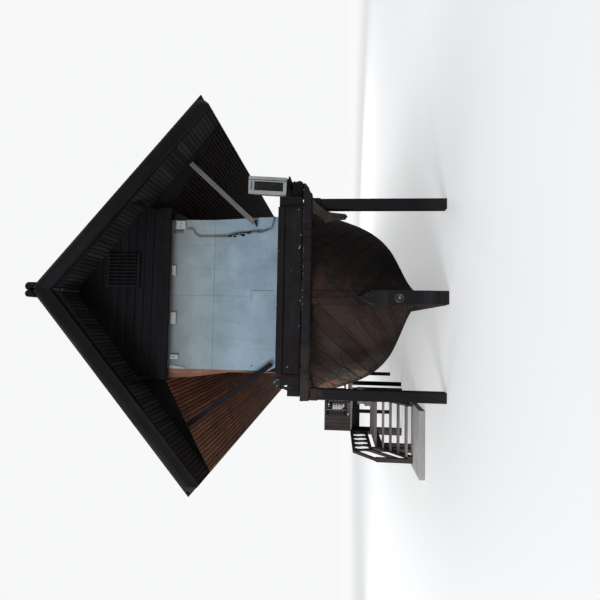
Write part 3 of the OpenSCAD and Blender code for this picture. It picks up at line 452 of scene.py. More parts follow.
# Hull planking: the keel's half width and top, the half breadth at the rail, the two control points
# of the midship curve, and the numbers that draw it in to the end posts
KH, KT, HH = 0.0903, 0.401, 1.723
P1, P2 = (0.804 * HH, KT + 0.015), (0.808 * HH, 0.503 * RAIL_H)
RISE, CLIMB, RUN, POW, E0, E1, EM = 4.75, 1.4, 2.79, 3.34, 0.59, 0.355, 0.465
STRAKES = 12
PLANK_TOP = RAIL_H - 0.001
PLANK_FACE = HALF + 0.012
TIP = HALF - 0.001
HULL_ROWS = [TIP - (HALF - 2.9) * (k / 30) ** 2.2 for k in range(31)] + [0.8, 1.5, 2.2]
HULL_ROWS = sorted({-y for y in HULL_ROWS} | set(HULL_ROWS) | {0.0, *DOOR})


def skin(t, y):
    """Where the hull's surface is, as (x, z), t of the way up from the keel to the rail."""
    u = 1 - t
    m = [u ** 3 * a + 3 * t * u * u * b + 3 * t * t * u * c + t ** 3 * d
         for a, b, c, d in zip((KH, KT), P1, P2, (HH, RAIL_H))]
    s = min(1.0, max(0.0, (HALF - abs(y)) / RUN))
    f = (1 - (1 - s) ** POW) ** (E0 + (E1 - E0) * t + EM * t * (1 - t))
    return (KH * (1 - f) + m[0] * f, (KT + RISE * t ** CLIMB) * (1 - f) + m[1] * f)


def inward(t, y):
    """The skin's normal in its cross section, towards the inside."""
    a, b = skin(max(0, t - 0.02), y), skin(min(1, t + 0.02), y)
    d = Vector((b[0] - a[0], b[1] - a[1])).normalized()
    return Vector((-d.y, d.x))


def outward(t, y):
    """The skin's normal in space, on the starboard side."""
    d = 0.004
    y0, y1 = (y - d, y) if y > 0 else (y, y + d)
    a, b = skin(max(0.0, t - 0.02), y), skin(min(1.0, t + 0.02), y)
    c, e = skin(t, y0), skin(t, y1)
    up = Vector((b[0] - a[0], 0, b[1] - a[1]))
    along = Vector((e[0] - c[0], y1 - y0, e[1] - c[1]))
    n = along.cross(up).normalized()
    return n if n.x > 0 else -n


def t_at(z, y):
    """How far up the skin reaches the height z, found by halving."""
    lo, hi = 0.0, 1.0
    if skin(1.0, y)[1] <= z:
        return 1.0
    for _ in range(26):
        mid = (lo + hi) / 2
        lo, hi = (mid, hi) if skin(mid, y)[1] < z else (lo, mid)
    return lo


def hull_x(z, y):
    return skin(t_at(z, y), y)[0]


def rows_between(a, b):
    """Places along Y for the rows of a plank or a sheet."""
    return [a + 0.0012] + [y for y in HULL_ROWS if a + 0.002 < y < b - 0.002] + [b - 0.0012]


def hull():
    """Planks butted at random, left out where the doorway cuts the hull, over dark sheets."""
    planks, backing = Piece("hull_planks"), Piece("hull_caulking")
    for side in (-1, 1):
        for i in range(STRAKES):
            butts = [-HALF]
            while butts[-1] < HALF:
                butts.append(butts[-1] + rnd.uniform(2.6, 4.6))
            butts[-1] = HALF
            if HALF - butts[-2] < 1.2:
                butts.pop(-2)
            cut = side < 0 and skin((i + 1) / STRAKES, 0)[1] > FLOOR_Z + 0.01
            for a, b in zip(butts, butts[1:]):
                door = cut and a < DOOR[1] and b > DOOR[0]
                for c, d in ((a, DOOR[0]), (DOOR[1], b)) if door else ((a, b),):
                    if d - c >= 0.05:
                        plank(planks, side, i, rows_between(c, d))
        for a, b in ((-HALF, DOOR[0]), DOOR, (DOOR[1], HALF)) if side < 0 else ((-HALF, HALF),):
            top = FLOOR_Z - 0.01 if (a, b) == DOOR else PLANK_TOP - 0.004
            caulking(backing, side, rows_between(a, b), top)
    planks.make("hull", 0.0, "stern_planking", "port_planking", "starboard_planking", "bow_planking")
    backing.make("caulk", 0.0, "stern_planking")


def caulking(piece, side, ys, top):
    """A sheet behind the planks, which shows in their seams."""
    behind, n = 0.012, 25
    verts = []
    for y in ys:
        limit = t_at(top, y)
        for t in [limit * k / (n - 1) for k in range(n)]:
            (x, z), out = skin(t, y), outward(t, y)
            verts.append((side * (x - out.x * behind), y - out.y * behind, z - out.z * behind))
    faces = [[k * n + j, k * n + j + 1, (k + 1) * n + j + 1, (k + 1) * n + j]
             for k in range(len(ys) - 1) for j in range(n - 1)]
    piece.solid(verts, faces, ALONG)


def plank(piece, side, i, ys):
    """A plank with rounded edges and a back, stopped below the sill where it passes the doorway."""
    gap, proud = rnd.uniform(0.0012, 0.0030), rnd.uniform(-0.0030, 0.0)
    seed = rnd.uniform(0, 90)
    tone = rnd.random()
    edge, rounding, back, below = 0.006, 0.008, 0.030, 0.0022
    t0, upper = i / STRAKES, (i + 1) / STRAKES
    lo, hi = DOOR[0] - 0.01, DOOR[1] + 0.01
    runs = [[]]
    for y in ys:
        passes = side < 0 and lo < y < hi and ys[0] < lo and ys[-1] > hi and skin(upper, y)[1] > FLOOR_Z
        limit = t_at(FLOOR_Z - 0.001 if passes else PLANK_TOP, y)
        if limit <= t0 + 0.004:
            runs.append([])
            continue
        t1 = min(upper, limit)
        w = (Vector(skin(t1, y)) - Vector(skin(t0, y))).length
        row = []
        for d, sink in ((gap, back), (gap, rounding), (gap + edge, 0.0), (w * 0.5, -0.0008),
                        (w - gap - edge, 0.0), (w - gap, rounding), (w - gap, back)):
            t = t0 + (t1 - t0) * d / w
            wave = 0.0016 * noise.noise(Vector((y * 0.9, d * 6, seed)))
            depth = max(0.0, sink - proud + below + wave) if sink < back else sink
            q = Vector(skin(t, y)) + inward(t, y) * depth
            row.append(((side * q.x, y, q.y), (y, d)))
        runs[-1].append(row)
    for run in runs:
        if len(run) > 1:
            points = [point for row in run for point in row]
            faces = loft(len(run), len(run[0]))
            piece.solid([p for p, _ in points], faces, ALONG, tone, [uv for _, uv in points])


hull()


# Plain timbers, from the CAD solids
def islands(bm):
    """The faces of each solid in a mesh."""
    seen = set()
    for start in bm.faces:
        if start.index in seen:
            continue
        stack, island = [start], []
        seen.add(start.index)
        while stack:
            f = stack.pop()
            island.append(f)
            for g in [g for e in f.edges for g in e.link_faces]:
                if g.index not in seen:
                    seen.add(g.index)
                    stack.append(g)
        yield island


def timber(node, material, bevel=0.004, parts=(), rough=0.0, cuts=()):
    """Rebuilds a CAD node with clean faces, worn edges, grain along each solid and a tone for each.
    parts lists (name, material, bevel, test): a solid whose centre passes the test goes to that piece,
    and to none where the name is empty. With rough, the faces are cut at each (axis, from, to, step)
    in cuts and worn out of true by up to that much."""
    bm = bmesh.new()
    bm.from_mesh(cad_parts[node].data)
    bmesh.ops.remove_doubles(bm, verts=bm.verts, dist=2e-5)
    bmesh.ops.dissolve_limit(bm, angle_limit=math.radians(1.0), verts=bm.verts, edges=bm.edges)
    for axis, lo, hi, step in cuts:
        for k in range(int((hi - lo) / step) + 1):
            at, no = [0, 0, 0], [0, 0, 0]
            at[axis], no[axis] = lo + k * step, 1
            everything = bm.verts[:] + bm.edges[:] + bm.faces[:]
            bmesh.ops.bisect_plane(bm, geom=everything, plane_co=at, plane_no=no, dist=1e-4)
    if rough:
        bm.normal_update()
        wear = [noise.noise(v.co * 9) + 0.7 * noise.noise(v.co * 27) - 0.25 for v in bm.verts]
        moves = [v.normal * rough * w for v, w in zip(bm.verts, wear)]
        for v, move in zip(bm.verts, moves):
            v.co += move
    bm.faces.ensure_lookup_table()
    groups = [(Piece(n) if n else None, m, b, test) for n, m, b, test in parts]
    groups.append((Piece(node + "_look"), material, bevel, lambda c: True))
    for island in islands(bm):
        longest = max({e for f in island for e in f.edges}, key=lambda e: e.calc_length())
        grain = longest.verts[1].co - longest.verts[0].co
        verts = sorted({v for f in island for v in f.verts}, key=lambda v: v.index)
        number = {v: i for i, v in enumerate(verts)}
        centre = sum((v.co for v in verts), Vector()) / len(verts)
        piece = next(g[0] for g in groups if g[3](centre))
        if piece is not None:
            piece.solid([v.co.copy() for v in verts], [[number[v] for v in f.verts] for f in island], grain)
    bm.free()
    for piece, m, b, _ in groups:
        if piece is not None and piece.v:
            piece.make(m, b, node)


for node, material, bevel in (
        ("keel", "hull", 0.008), ("keelson", "hull", 0.004), ("hull_frames", "hull", 0.0),
        ("end_boards", "beam", 0.006), ("support_posts", "post", 0.007), ("end_decks", "deck", 0.004),
        ("door_frame", "dark", 0.003), ("window_frames", "dark", 0.004), ("gable_boards", "dark", 0.002),
        ("gable_beams", "dark", 0.005), ("gable_vents", "dark", 0.002), ("ridge_beam", "dark", 0.003),
        ("rafters", "brown", 0.003), ("barge_boards", "dark", 0.004), ("eave_boards", "eave", 0.002),
        ("wing_boards", "dark", 0.002), ("gable_struts", "dark", 0.003), ("stair_frame", "rail", 0.003),
        ("veranda_frame", "dark", 0.004), ("concrete_pad", "concrete", 0.010),
        ("window_panes", "glass", 0.0)):
    timber(node, material, bevel)
timber("end_posts", "post_end", 0.006, [
    ("shaft_end", "steel", 0.002, lambda c: abs(c.z - 0.66) < 0.02 and c.y < -6.13)])
timber("corner_blocks", "beam", 0.007, [
    ("old_knee", "rot", 0.006, lambda c: c.z < 1.9),
    ("painted_stub", "green", 0.008, lambda c: c.z > 2.34 and c.x < 0),
    ("broken_stub", "rot", 0.003, lambda c: c.z > 2.25 and c.x < -1.28)])
timber("rub_rails", "rub", 0.0, (), 0.011, ((0, -1.65, 1.65, 0.04), (1, -5.7, 5.7, 0.12)))
timber("knee_braces", "dark", 0.004, [("grey_brace", "grey", 0.005, lambda c: c.x > 0)])
timber("aircon_shelf", "rot_dark", 0.0, (), 0.012,
       ((0, 1.47, 1.78, 0.03), (1, -6.0, -5.4, 0.04), (2, 2.06, 2.29, 0.03)))


def debris():
    """Crumbled wood between the rail's rotten end and the shelf, and the joint beside the corner block."""
    p = Piece("crumbled_wood")
    lo, hi, pile = (1.475, -5.985, 2.046), (1.675, -5.80, 2.075), 0.13
    for _ in range(46):
        at = Vector([rnd.uniform(a, b) for a, b in zip(lo, hi)])
        if rnd.random() < 0.35:
            at.z += rnd.uniform(0.0, pile)
        size = Vector([rnd.uniform(0.012, 0.034) for _ in range(3)])
        size.z *= 0.5
        m = Matrix.Translation(at) @ Matrix.Rotation(rnd.uniform(0, 3), 4, "Z")
        p.box(-size, size, matrix=m @ Matrix.Rotation(rnd.uniform(-0.4, 0.4), 4, "X"), wobble=0.010)
    p.make("rot_dark", 0.0, "aircon_shelf")
    p = Piece("open_joint")
    p.prism([(1.3115, 2.378), (1.336, 2.372), (1.342, 2.25), (1.349, 2.075), (1.319, 2.062), (1.318, 2.2)],
            1, -6.0115, -6.005)
    p.make("gap", 0.0, "end_boards")


debris()


# Soffits of separate boards
PITCH, FIRST = 0.052, 0.0255


def soffit(name, node, materials, x0, under, spans):
    """Boards along Y under a sloping line. spans(x) gives the stretches of Y that a board at x covers."""
    gap, depth, length, cover, x1 = 0.014, 0.016, 3.4, 0.005, SOFFIT_IN
    for side, which, material in ((-1, "_port", materials[0]), (1, "_starboard", materials[1])):
        boards, back = Piece(name + which), Piece(name + "_back" + which)

        def outline(a, b, lift, thick):
            low, high = [(SHIFT + side * x, under(x) + lift) for x in (a, b)]
            return [low, high, (high[0], high[1] + thick), (low[0], low[1] + thick)]
        x = x0
        while x + PITCH * 0.6 < x1:
            a, b = x + gap / 2, min(x + PITCH - gap / 2, x1 - 0.001)
            for lo, hi in spans((a + b) / 2):
                cuts = [lo]
                while hi - cuts[-1] > length * 1.4:
                    cuts.append(cuts[-1] + rnd.uniform(0.7, 1.15) * length)
                cuts.append(hi)
                for c, d in zip(cuts, cuts[1:]):
                    boards.prism(outline(a, b, rnd.uniform(0, 0.0025), depth), 1, c + 0.001, d - 0.001, ALONG)
            x += PITCH
        for lo, hi in spans((x0 + x1) / 2):
            back.prism(outline(x0, x1, depth + cover, 0.007), 1, lo, hi, ALONG)
        boards.make(material, 0.0015, node)
        back.make("caulk", 0.0, node)


def gable_spans(x):
    stop = GABLE_Y + 0.0005 if x < 1.285 else WING_Y + 0.0005
    return [(-SOFFIT_END, -stop), (stop, SOFFIT_END)]


def closing_boards():
    """Short slats carry the gable soffit up to the barge boards, and a batten covers its ridge."""
    slats, back = Piece("closing_slats"), Piece("closing_backing")
    batten, head = Piece("ridge_batten"), Piece("batten_head")
    barge, lip, wide, low = 0.2848, 0.007, 0.021, soffit_z(0) - 0.055

    def strip(piece, a, b, y0, y1):
        pts = [(SHIFT + side * x, z) for x, z in ((a, soffit_z(a) + 0.001), (b, soffit_z(b) + 0.001),
                                                  (b, roof_z(b, barge)), (a, roof_z(a, barge)))]
        # The low tones darken the slats: painted shade on their lit front faces, so they read like the soffit
        # boards below.
        piece.prism(pts, 1, y0, y1, UPRIGHT, rnd.uniform(-0.3, 0.3))
    for end in (-1, 1):
        y = end * (SOFFIT_END + 0.0005)
        for side in (-1, 1):
            x = FIRST
            while roof_z(x + PITCH - lip, barge) - soffit_z(x + PITCH - lip) > 0.005:
                strip(slats, x + lip, x + PITCH - lip, y + end * 0.002, y + end * 0.009)
                strip(back, x + 0.0002, x + PITCH - 0.0002, y, y + end * 0.0018)
                x += PITCH
        batten.box((SHIFT - wide, y, low), (SHIFT + wide, end * GABLE_Y, low + 0.026), ALONG)
        head.box((SHIFT - wide, y + end * 0.0005, low + 0.0265),
                 (SHIFT + wide, y + end * 0.018, 5.574), UPRIGHT)
    slats.make("dark", 0.0, "gable_soffits")
    back.make("caulk", 0.0, "gable_soffits")
    # The batten takes the paler eave material, which paints light on its shaded underside; its head keeps the
    # darker beam material.
    batten.make("eave", 0.003, "gable_soffits")
    head.make("beam", 0.003, "gable_soffits")


def barge_fillets():
    """A sloped strip below the upper moulding of each barge board, in three lengths."""
    p = Piece("barge_fillets")
    moulding, proud, foot = 0.1355, 0.0215, 0.25
    cuts = [0.003, 0.9, 1.8, EAVE_IN - 0.0005]
    for side in (-1, 1):
        for end in (-1, 1):
            for a, b in zip(cuts, cuts[1:]):
                verts = [(SHIFT + side * x, end * (ROOF_END + out), roof_z(x, depth))
                         for x in (a + 0.0005, b - 0.0005)
                         for out, depth in ((0.0, moulding), (proud, moulding), (0.0005, foot))]
                faces = [(0, 1, 2), (3, 5, 4), (0, 3, 4, 1), (1, 4, 5, 2), (2, 5, 3, 0)]
                p.solid(verts, faces, (side, 0, -SLOPE))
    p.make("dark", 0.0, "barge_boards")


soffit("gable_soffit_boards", "gable_soffits", ("shade", "shade"), FIRST, soffit_z, gable_spans)
# The starboard eave soffit boards take the darker copy of the varnished boards: painted shade.
soffit("eave_soffit_boards", "eave_soffits", ("brown", "brown_painted_shade"), 1.10,
       lambda x: brown_z(x) + 0.0005, lambda x: [(-5.7595, 5.7595)])
closing_boards()
barge_fillets()


# Roof covering
def roof():
    """Courses of shingles on boards, with a plain strip along each verge and a wedge at the eaves."""
    p, under, verge = Piece("roof_shingles"), Piece("roof_boards"), Piece("roof_verges")
    k = math.sqrt(1 + SLOPE * SLOPE)
    down, up = Vector((1 / k, 0, -SLOPE / k)), Vector((SLOPE / k, 0, 1 / k))
    length, board_end, courses = ROOF_HALF * k, (ROOF_HALF - 0.05) * k, 17
    show, lap, butt = length / courses, 0.03, 0.0145
    inner, gap = ROOF_END - 0.028, 0.0012
    board_top, board_foot, verge_top, verge_foot = 0.019, 0.0418, 0.0002, 0.0416

    def at(s, y, depth):
        """A point s down the slope and depth below its surface."""
        v = Vector((0, 0, APEX)) + down * s - up * depth
        return Vector((SHIFT + side * (v.x + 0.0004), y, v.z))

    def block(piece, rows, ys, grain):
        """A block between two (s, upper depth, lower depth) rows and two places along Y."""
        piece.solid([at(s, y, d) for s, *depths in rows for y in ys for d in depths], PAIR_FACES, grain)
    for side in (-1, 1):
        slope = (side * down.x, 0, down.z)
        for c in range(courses):
            y = -inner
            while y < inner - 0.03:
                e = min(y + rnd.uniform(0.11, 0.21), inner)
                if inner - e < 0.05:
                    e = inner
                s0 = max(0.0, c * show - lap)
                s1 = (c + 1) * show - (rnd.uniform(0, 0.012) if c < courses - 1 else 0.002)
                upper, lower = 0.012 if c else 0.006, 0.0005 + rnd.uniform(0, 0.003)
                corners = ((s0, y + gap), (s0, e - gap), (s1, e - gap), (s1, y + gap))
                pts = [at(*corner, d) for corner, d in zip(corners, (upper, upper, lower, lower))]
                pts += [at(*corner, d) for corner, d in zip(corners, (0.018, 0.018, butt, butt))]
                p.solid(pts, RING_FACES, slope)
                y = e
        s = 0.0
        while s < board_end - 0.02:
            w = min(rnd.uniform(0.14, 0.2), board_end - s)
            block(under, [(t, board_top, board_foot) for t in (s, s + w - 0.003)], (-inner, inner), ALONG)
            s += w
        wedge = ((board_end, board_top, 0.0416), (length - 0.004, 0.0142, 0.0146))
        block(under, wedge, (-ROOF_END, ROOF_END), ALONG)
        for end in (-1, 1):
            ys = (end * (inner + 0.001), end * ROOF_END)
            s = 0.0
            while s < board_end - 0.01:
                w = min(rnd.uniform(0.9, 1.6), board_end - s)
                block(verge, [(t, verge_top, verge_foot) for t in (s, s + w - 0.0015)], ys, slope)
                s += w
            wedge = ((board_end, verge_top, verge_foot), (length - 0.001, verge_top, 0.0146))
            block(verge, wedge, ys, slope)
    p.make("shingle", 0.0, "roof_slopes")
    under.make("dark", 0.0, "roof_slopes")
    verge.make("verge", 0.0, "roof_slopes")


def ridge():
    """Two rounded capping boards side by side along the ridge, in butted lengths."""
    p, reach = Piece("ridge_caps"), 6.41
    for x, r, z in ((-0.024, 0.0495, 5.886), (0.0805, 0.0575, 5.882)):
        arc = [(x + r * math.cos(a), z + r * math.sin(a)) for a in angles(14, 1, math.pi)]
        foot = [x - r, SHIFT, x + r] if abs(x - SHIFT) < r else [x - r, x + r]
        foot = [(a, roof_z(a - SHIFT) + 0.001) for a in foot]
        y = -reach
        while y < reach:
            e = min(y + rnd.uniform(2.0, 3.2), reach)
            e = reach if reach - e < 0.8 else e
            p.prism(arc + foot, 1, y + 0.001, e - 0.001, ALONG)
            y = e
    p.make("dark", 0.003, "ridge_rolls")


roof()
ridge()


# Decks and floor, of separate planks
def cabin_x(y):
    """Half the cabin's width, which narrows towards its ends."""
    return CABIN_X + CABIN_SWELL * (1 - min(1.0, abs(y) / CABIN_END))


def side_decks():
    """Four planks between the cabin and the rail on each side, stopped at the doorway."""
    p = Piece("side_deck_planks")
    n, end, jamb, gap = 4, 5.859, 0.007, 0.0035 / 0.09
    z0, z1 = RAIL_H + 0.002, RAIL_H + 0.0398

    def edge(y, f):
        a, b = cabin_x(y) - 0.099, max(1.445, hull_x(RAIL_H, y) + 0.0245)
        return side * (a + (b - a) * f)
    for side in (-1, 1):
        for j in range(n):
            butts = [-end]
            while butts[-1] < end:
                butts.append(butts[-1] + rnd.uniform(1.8, 3.4))
            butts[-1] = end
            for a, b in zip(butts, butts[1:]):
                stretches = [(a, b)]
                if side < 0:
                    stretches = [(a, min(b, DOOR[0] - jamb)), (max(a, DOOR[1] + jamb), b)]
                for lo, hi in stretches:
                    if hi - lo < 0.05:
                        continue
                    rows = max(1, int((hi - lo) / 0.4))
                    lift = rnd.uniform(-0.0012, 0)
                    verts = []
                    for y in [lo + 0.0015 + (hi - lo - 0.003) * k / rows for k in range(rows + 1)]:
                        for f, z in ((j, z0), (j + 1, z0), (j + 1, z1 + lift), (j, z1 + lift)):
                            verts.append((edge(y, (f + (gap if f == j else -gap)) / n), y, z))
                    p.solid(verts, loft(rows + 1, 4), ALONG)
    p.make("deck", 0.0015, "side_decks")


def floor_boards():
    """Floor boards in two or three lengths, each as long as the hull's width allows."""
    p = Piece("floor_boards_look")
    x, w, under, lining = -1.32, 0.12, FLOOR_Z - 0.04, 0.138
    while x < 1.3:
        far = max(abs(x), abs(x + w))
        y = 5.2
        while y > 0.3 and hull_x(under, y) - lining < far:
            y -= 0.1
        if hull_x(under, 0) - lining >= far:
            cuts = [-y, rnd.uniform(-2.5, -1.0), rnd.uniform(1.0, 2.5), y] if y > 3 else [-y, 0.2, y]
            for a, b in zip(cuts, cuts[1:]):
                p.box((x + 0.0012, a + 0.001, under + 0.0002), (x + w - 0.0012, b - 0.001, FLOOR_Z), ALONG)
        x += w
    p.make("deck", 0.0015, "cabin_floor")


# The veranda's outer edge and two ends, then the stair's outer edge, width and foot, the pad's top
# and the height of one step
VERANDA_X, NEAR, FAR = -2.88, -1.64, 0.66
STAIR_X, STAIR_W, STAIR_Y, PAD, STEP = -2.84, 1.0, -3.85, 0.10, 0.125
LANDING_Z = PAD + 5 * STEP


def veranda():
    """Deck boards and a fascia, then landing boards, the lower treads and the two box steps."""
    p = Piece("veranda_boards")
    y = NEAR
    while y < FAR - 0.02:
        w = min(0.115, FAR - y)
        p.box((VERANDA_X, y + 0.002, FLOOR_Z - 0.0398),
              (-hull_x(FLOOR_Z, y + w / 2) - 0.009, y + w - 0.002, FLOOR_Z - rnd.uniform(0, 0.002)))
        y += w
    # The veranda deck takes the paler tread boards: painted sunlight.
    p.make("tread", 0.002, "veranda_deck")
    p = Piece("veranda_fascia")
    for a, b in ((-2.878, -2.33), (-2.329, -1.86)):
        p.box((a, NEAR + 0.0005, 0.965), (b, NEAR + 0.0205, 1.1385), wobble=0.001)
    p.make("dark", 0.002, "veranda_frame")
    p = Piece("stair_boards")
    run, tread, thick, landing, n = 0.17, 0.186, 0.035, (-3.11, 1.469), 12
    for i in range(4):
        y, z = STAIR_Y + i * run, PAD + (i + 1) * STEP
        p.box((STAIR_X + 0.041, y, z - thick), (STAIR_X + 0.959, y + tread, z), wobble=0.002)
    for i in range(n):
        a, w = landing[0] + landing[1] * i / n, landing[1] / n
        p.box((STAIR_X, a + 0.002, LANDING_Z - thick),
              (STAIR_X + STAIR_W, a + w - 0.002, LANDING_Z - rnd.uniform(0, 0.002)))
    rise, left, board, front_t, side_t = (FLOOR_Z - LANDING_Z) / 3, STAIR_X + 0.64, 0.030, 0.022, 0.026
    for depth, base in ((0.5, LANDING_Z + 0.0003), (0.25, LANDING_Z + rise + 0.0003)):
        top, front, w = base + rise - 0.001, NEAR - depth, (depth - 0.001) / 3
        for k in range(3):
            p.box((left, front + w * k + 0.0015, top - board),
                  (STAIR_X + STAIR_W, front + w * (k + 1) - 0.0015, top))
        under = top - board - 0.001
        p.box((left + 0.005, front + 0.006, base), (STAIR_X + 0.995, front + 0.006 + front_t, under))
        for x in (left + 0.002, STAIR_X + 0.972):
            p.box((x, front + 0.029, base), (x + side_t, NEAR - 0.002, under), ALONG)
    # The stair takes the paler tread boards: painted sunlight.
    p.make("tread", 0.002, "stair_treads")


def railing_run(p, at, turn, long, count):
    """A straight railing with posts at its ends, two rails and its balusters."""
    high, low, post, bar, rail = 0.61, 0.06, 0.07, 0.04, 0.05
    m = Matrix.Translation(at) @ Matrix.Rotation(turn, 4, "Z")
    for x in (0.0, long - post):
        p.box((x, 0, 0), (x + post, post, high), UPRIGHT, None, m, 0.001)
    p.box((post, 0.010, high - rail), (long - post, 0.060, high), ACROSS, None, m, 0.001)
    p.box((post, 0.012, low), (long - post, 0.058, low + rail), ACROSS, None, m, 0.001)
    for k in range(count):
        x = post + (long - 2 * post) * (k + 1) / (count + 1) - bar / 2
        p.box((x, 0.016, low + rail), (x + bar, 0.054, high - rail), UPRIGHT, None, m, 0.002)


def railings():
    """Posts, rails and balusters, each a stick of its own."""
    p = Piece("railing_sticks")
    z, top, board, left = FLOOR_Z + 0.0003, FLOOR_Z + 0.6103, 0.09, VERANDA_X + 0.0003
    for k in range(4):
        p.box((left + board * k + 0.0015, NEAR, z), (left + board * (k + 1) - 0.0015, NEAR + 0.043, top),
              UPRIGHT, wobble=0.002)
    p.box((-2.2295, NEAR, z), (-2.1895, -1.5705, top), UPRIGHT, wobble=0.001)
    for low in (z + 0.06, z + 0.56):
        p.box((-2.5195, NEAR + 0.010, low), (-2.2300, NEAR + 0.060, low + 0.05), wobble=0.001)
    railing_run(p, (-2.81, -1.594, z), math.pi / 2, 2.183, 16)
    railing_run(p, (-2.809, 0.59, z), 0.0, 0.977, 7)
    stair_railing(p)
    p.make("rail", 0.003, "railings")


def stair_railing(p):
    """A foot post, two posts that stand on the ground, two bent rails, and five wide wavy balusters."""
    x, hand, low, post, rail, end = -2.92, 1.18, 0.785, 0.0795, 0.06, NEAR - 0.0005
    for y0, y1, z0, z1 in ((-3.85, -3.77, PAD, 0.77), (-3.15, -3.07, 0.001, low + 0.05),
                           (-1.73, -1.65, 0.001, hand - 0.01)):
        p.box((x, y0, z0), (x + post, y1, z1), UPRIGHT, wobble=0.001)
    for outline, rise in (
            ([(-3.84, 0.71), (-3.31, hand - rail), (-3.34, hand), (-3.85, 0.78)], 0.8),
            ([(-3.31, hand - rail), (end, hand - rail), (end, hand), (-3.34, hand)], 0.0),
            ([(-3.84, 0.22), (-3.21, low), (-3.24, low + rail), (-3.84, 0.29)], 0.9),
            ([(-3.21, low), (end, low), (end, low + rail), (-3.24, low + rail)], 0.0)):
        p.prism(outline, 0, x + 0.015, x + 0.065, (0, 1, rise))
    z0, z1, rows, inner, outer = low + 0.055, hand - 0.058, 12, x + 0.026, x + 0.050
    for k in range(5):
        y, verts = -3.19 + 0.345 * k, []
        for f in [r / rows for r in range(rows + 1)]:
            half, lean = 0.085 - 0.034 * math.sin(math.pi * f) ** 2, 0.018 * math.sin(2 * math.pi * f)
            verts += [(a, y + b + lean, z0 + (z1 - z0) * f)
                      for a, b in ((inner, -half), (outer, -half), (outer, half), (inner, half))]
        p.solid(verts, loft(rows + 1, 4), UPRIGHT)


side_decks()
floor_boards()
veranda()
railings()


# Stern face of the hull
def stern_face():
    """Short ends of the planks that close the hull over the stern post and, by symmetry, at the bow."""
    p, seam = Piece("plank_ends"), Piece("plank_end_backing")
    half, slant, g, low, foot = KH + 0.001, 0.085, 0.002, 1.0, 0.05
    for end in (-1, 1):
        seam.box((-half, end * (HALF - 0.03), low), (half, end * HALF, RAIL_H - 0.02), UPRIGHT)
        for side in (-1, 1):
            gap = 0.003 if side < 0 else 0.001
            for i in range(STRAKES):
                z0, z1 = [KT + RISE * (k / STRAKES) ** CLIMB for k in (i, i + 1)]
                if z0 > RAIL_H - 0.03 or z1 < low:
                    continue
                pts = [(half, z0 + g), (gap, z0 + g + slant), (gap, z1 - g + slant), (half, z1 - g)]
                pts = [(x, min(z, PLANK_TOP)) for x, z in pts]
                if pts[2][1] - pts[1][1] < 0.004:
                    pts = [pts[0], (pts[1][0] + foot, pts[1][1]), pts[3]]
                p.prism([(side * x, z) for x, z in pts], 1, end * HALF, end * PLANK_FACE, (1, 0, -side * 0.9))
    p.make("hull", 0.0015, "keelson")
    seam.make("caulk", 0.0, "keelson")


# Irons and nails
POST_FACE = HALF + 0.15
PLATES = ((-0.108, 0.098, 0.826, 0.972), (-0.094, 0.088, 0.470, 0.584), (-0.090, 0.086, 0.345, 0.392),
          (-0.088, 0.085, 0.228, 0.338), (-0.086, 0.084, 0.112, 0.196), (-0.084, 0.083, 0.004, 0.100))


def post_irons():
    """Plates, nails and the shaft's end on each end post, and a strap with an eye above its head."""
    plates, nubs, rings, dark = [Piece("post_" + name) for name in ("plates", "nails", "rings", "hollow")]
    shaft = (-0.004, 0.668)
    for end in (-1, 1):
        face, back = end * POST_FACE, end * (POST_FACE - 0.004)
        for x0, x1, z0, z1 in PLATES:
            plates.box((x0, back, z0), (x1, face + end * 0.004, z1), wobble=0.003)
        spots = [(rnd.uniform(-0.06, 0.055), rnd.uniform(0.745, 0.82)) for _ in range(11)]
        spots += [(rnd.uniform(-0.05, 0.05), rnd.uniform(0.415, 0.455)) for _ in range(5)]
        spots += [(x, z) for x in (-0.066, 0.060) for z in (0.52, 0.28, 0.15, 0.90)]
        for x, z in spots:
            nubs.tube([(x, back, z), (x, face + end * 0.0065, z)], rnd.uniform(0.004, 0.0075), 6)
        rings.tube(ring((shaft[0], face + end * 0.003, shaft[1]), 0.056, 32, 1), 0.0062, 8)
        dark.tube([(shaft[0], y, shaft[1]) for y in (back, face + end * 0.0055)], 0.052, 32)
        rings.tube([(0.008, face + end * out, 0.662) for out in (0.004, 0.0092)], 0.021, 20)
        strap = end * PLANK_FACE
        dark.tube(ring((0.012, strap + end * 0.008, 1.262), 0.060, 24, 1, 0.026), 0.010, 8)
        dark.box((-0.052, strap, 1.238), (0.074, strap + end * 0.006, 1.280))
        for a, b in (((-0.03, 1.235), (-0.104, 1.01)), ((0.05, 1.235), (0.098, 1.02))):
            rings.tube([(a[0], strap + end * 0.004, a[1]), (b[0], back, b[1])], 0.0022, 5)
    plates.make("plate", 0.002, "end_posts")
    nubs.make("rot", 0.0, "end_posts")
    rings.make("steel", 0.0, "end_posts")
    dark.make("black", 0.0, "end_posts")


def plank_nails():
    """Two nails in each plank at each frame."""
    nails = Piece("plank_nails")
    frames = [k * 0.6 - 5.4 for k in range(19)] + [-5.75, 5.75, -5.9, 5.9]
    for side in (-1, 1):
        for i, y, d in [(i, y, d) for i in range(STRAKES) for y in frames for d in (0.22, 0.78)]:
            t = (i + d + rnd.uniform(-0.04, 0.04)) / STRAKES
            y += rnd.uniform(-0.03, 0.03)
            q = Vector(skin(t, y))
            door = side < 0 and DOOR[0] - 0.05 < y < DOOR[1] + 0.05 and q.y > FLOOR_Z - 0.02
            if q.y > RAIL_H - 0.17 or door:
                continue
            out = -inward(t, y)
            foot, head = q - out * 0.0082, q - out * 0.0016
            nails.tube([(side * e.x, y, e.y) for e in (foot, head)], rnd.uniform(0.004, 0.0065), 6)
    nails.make("black", 0.0, "stern_planking")


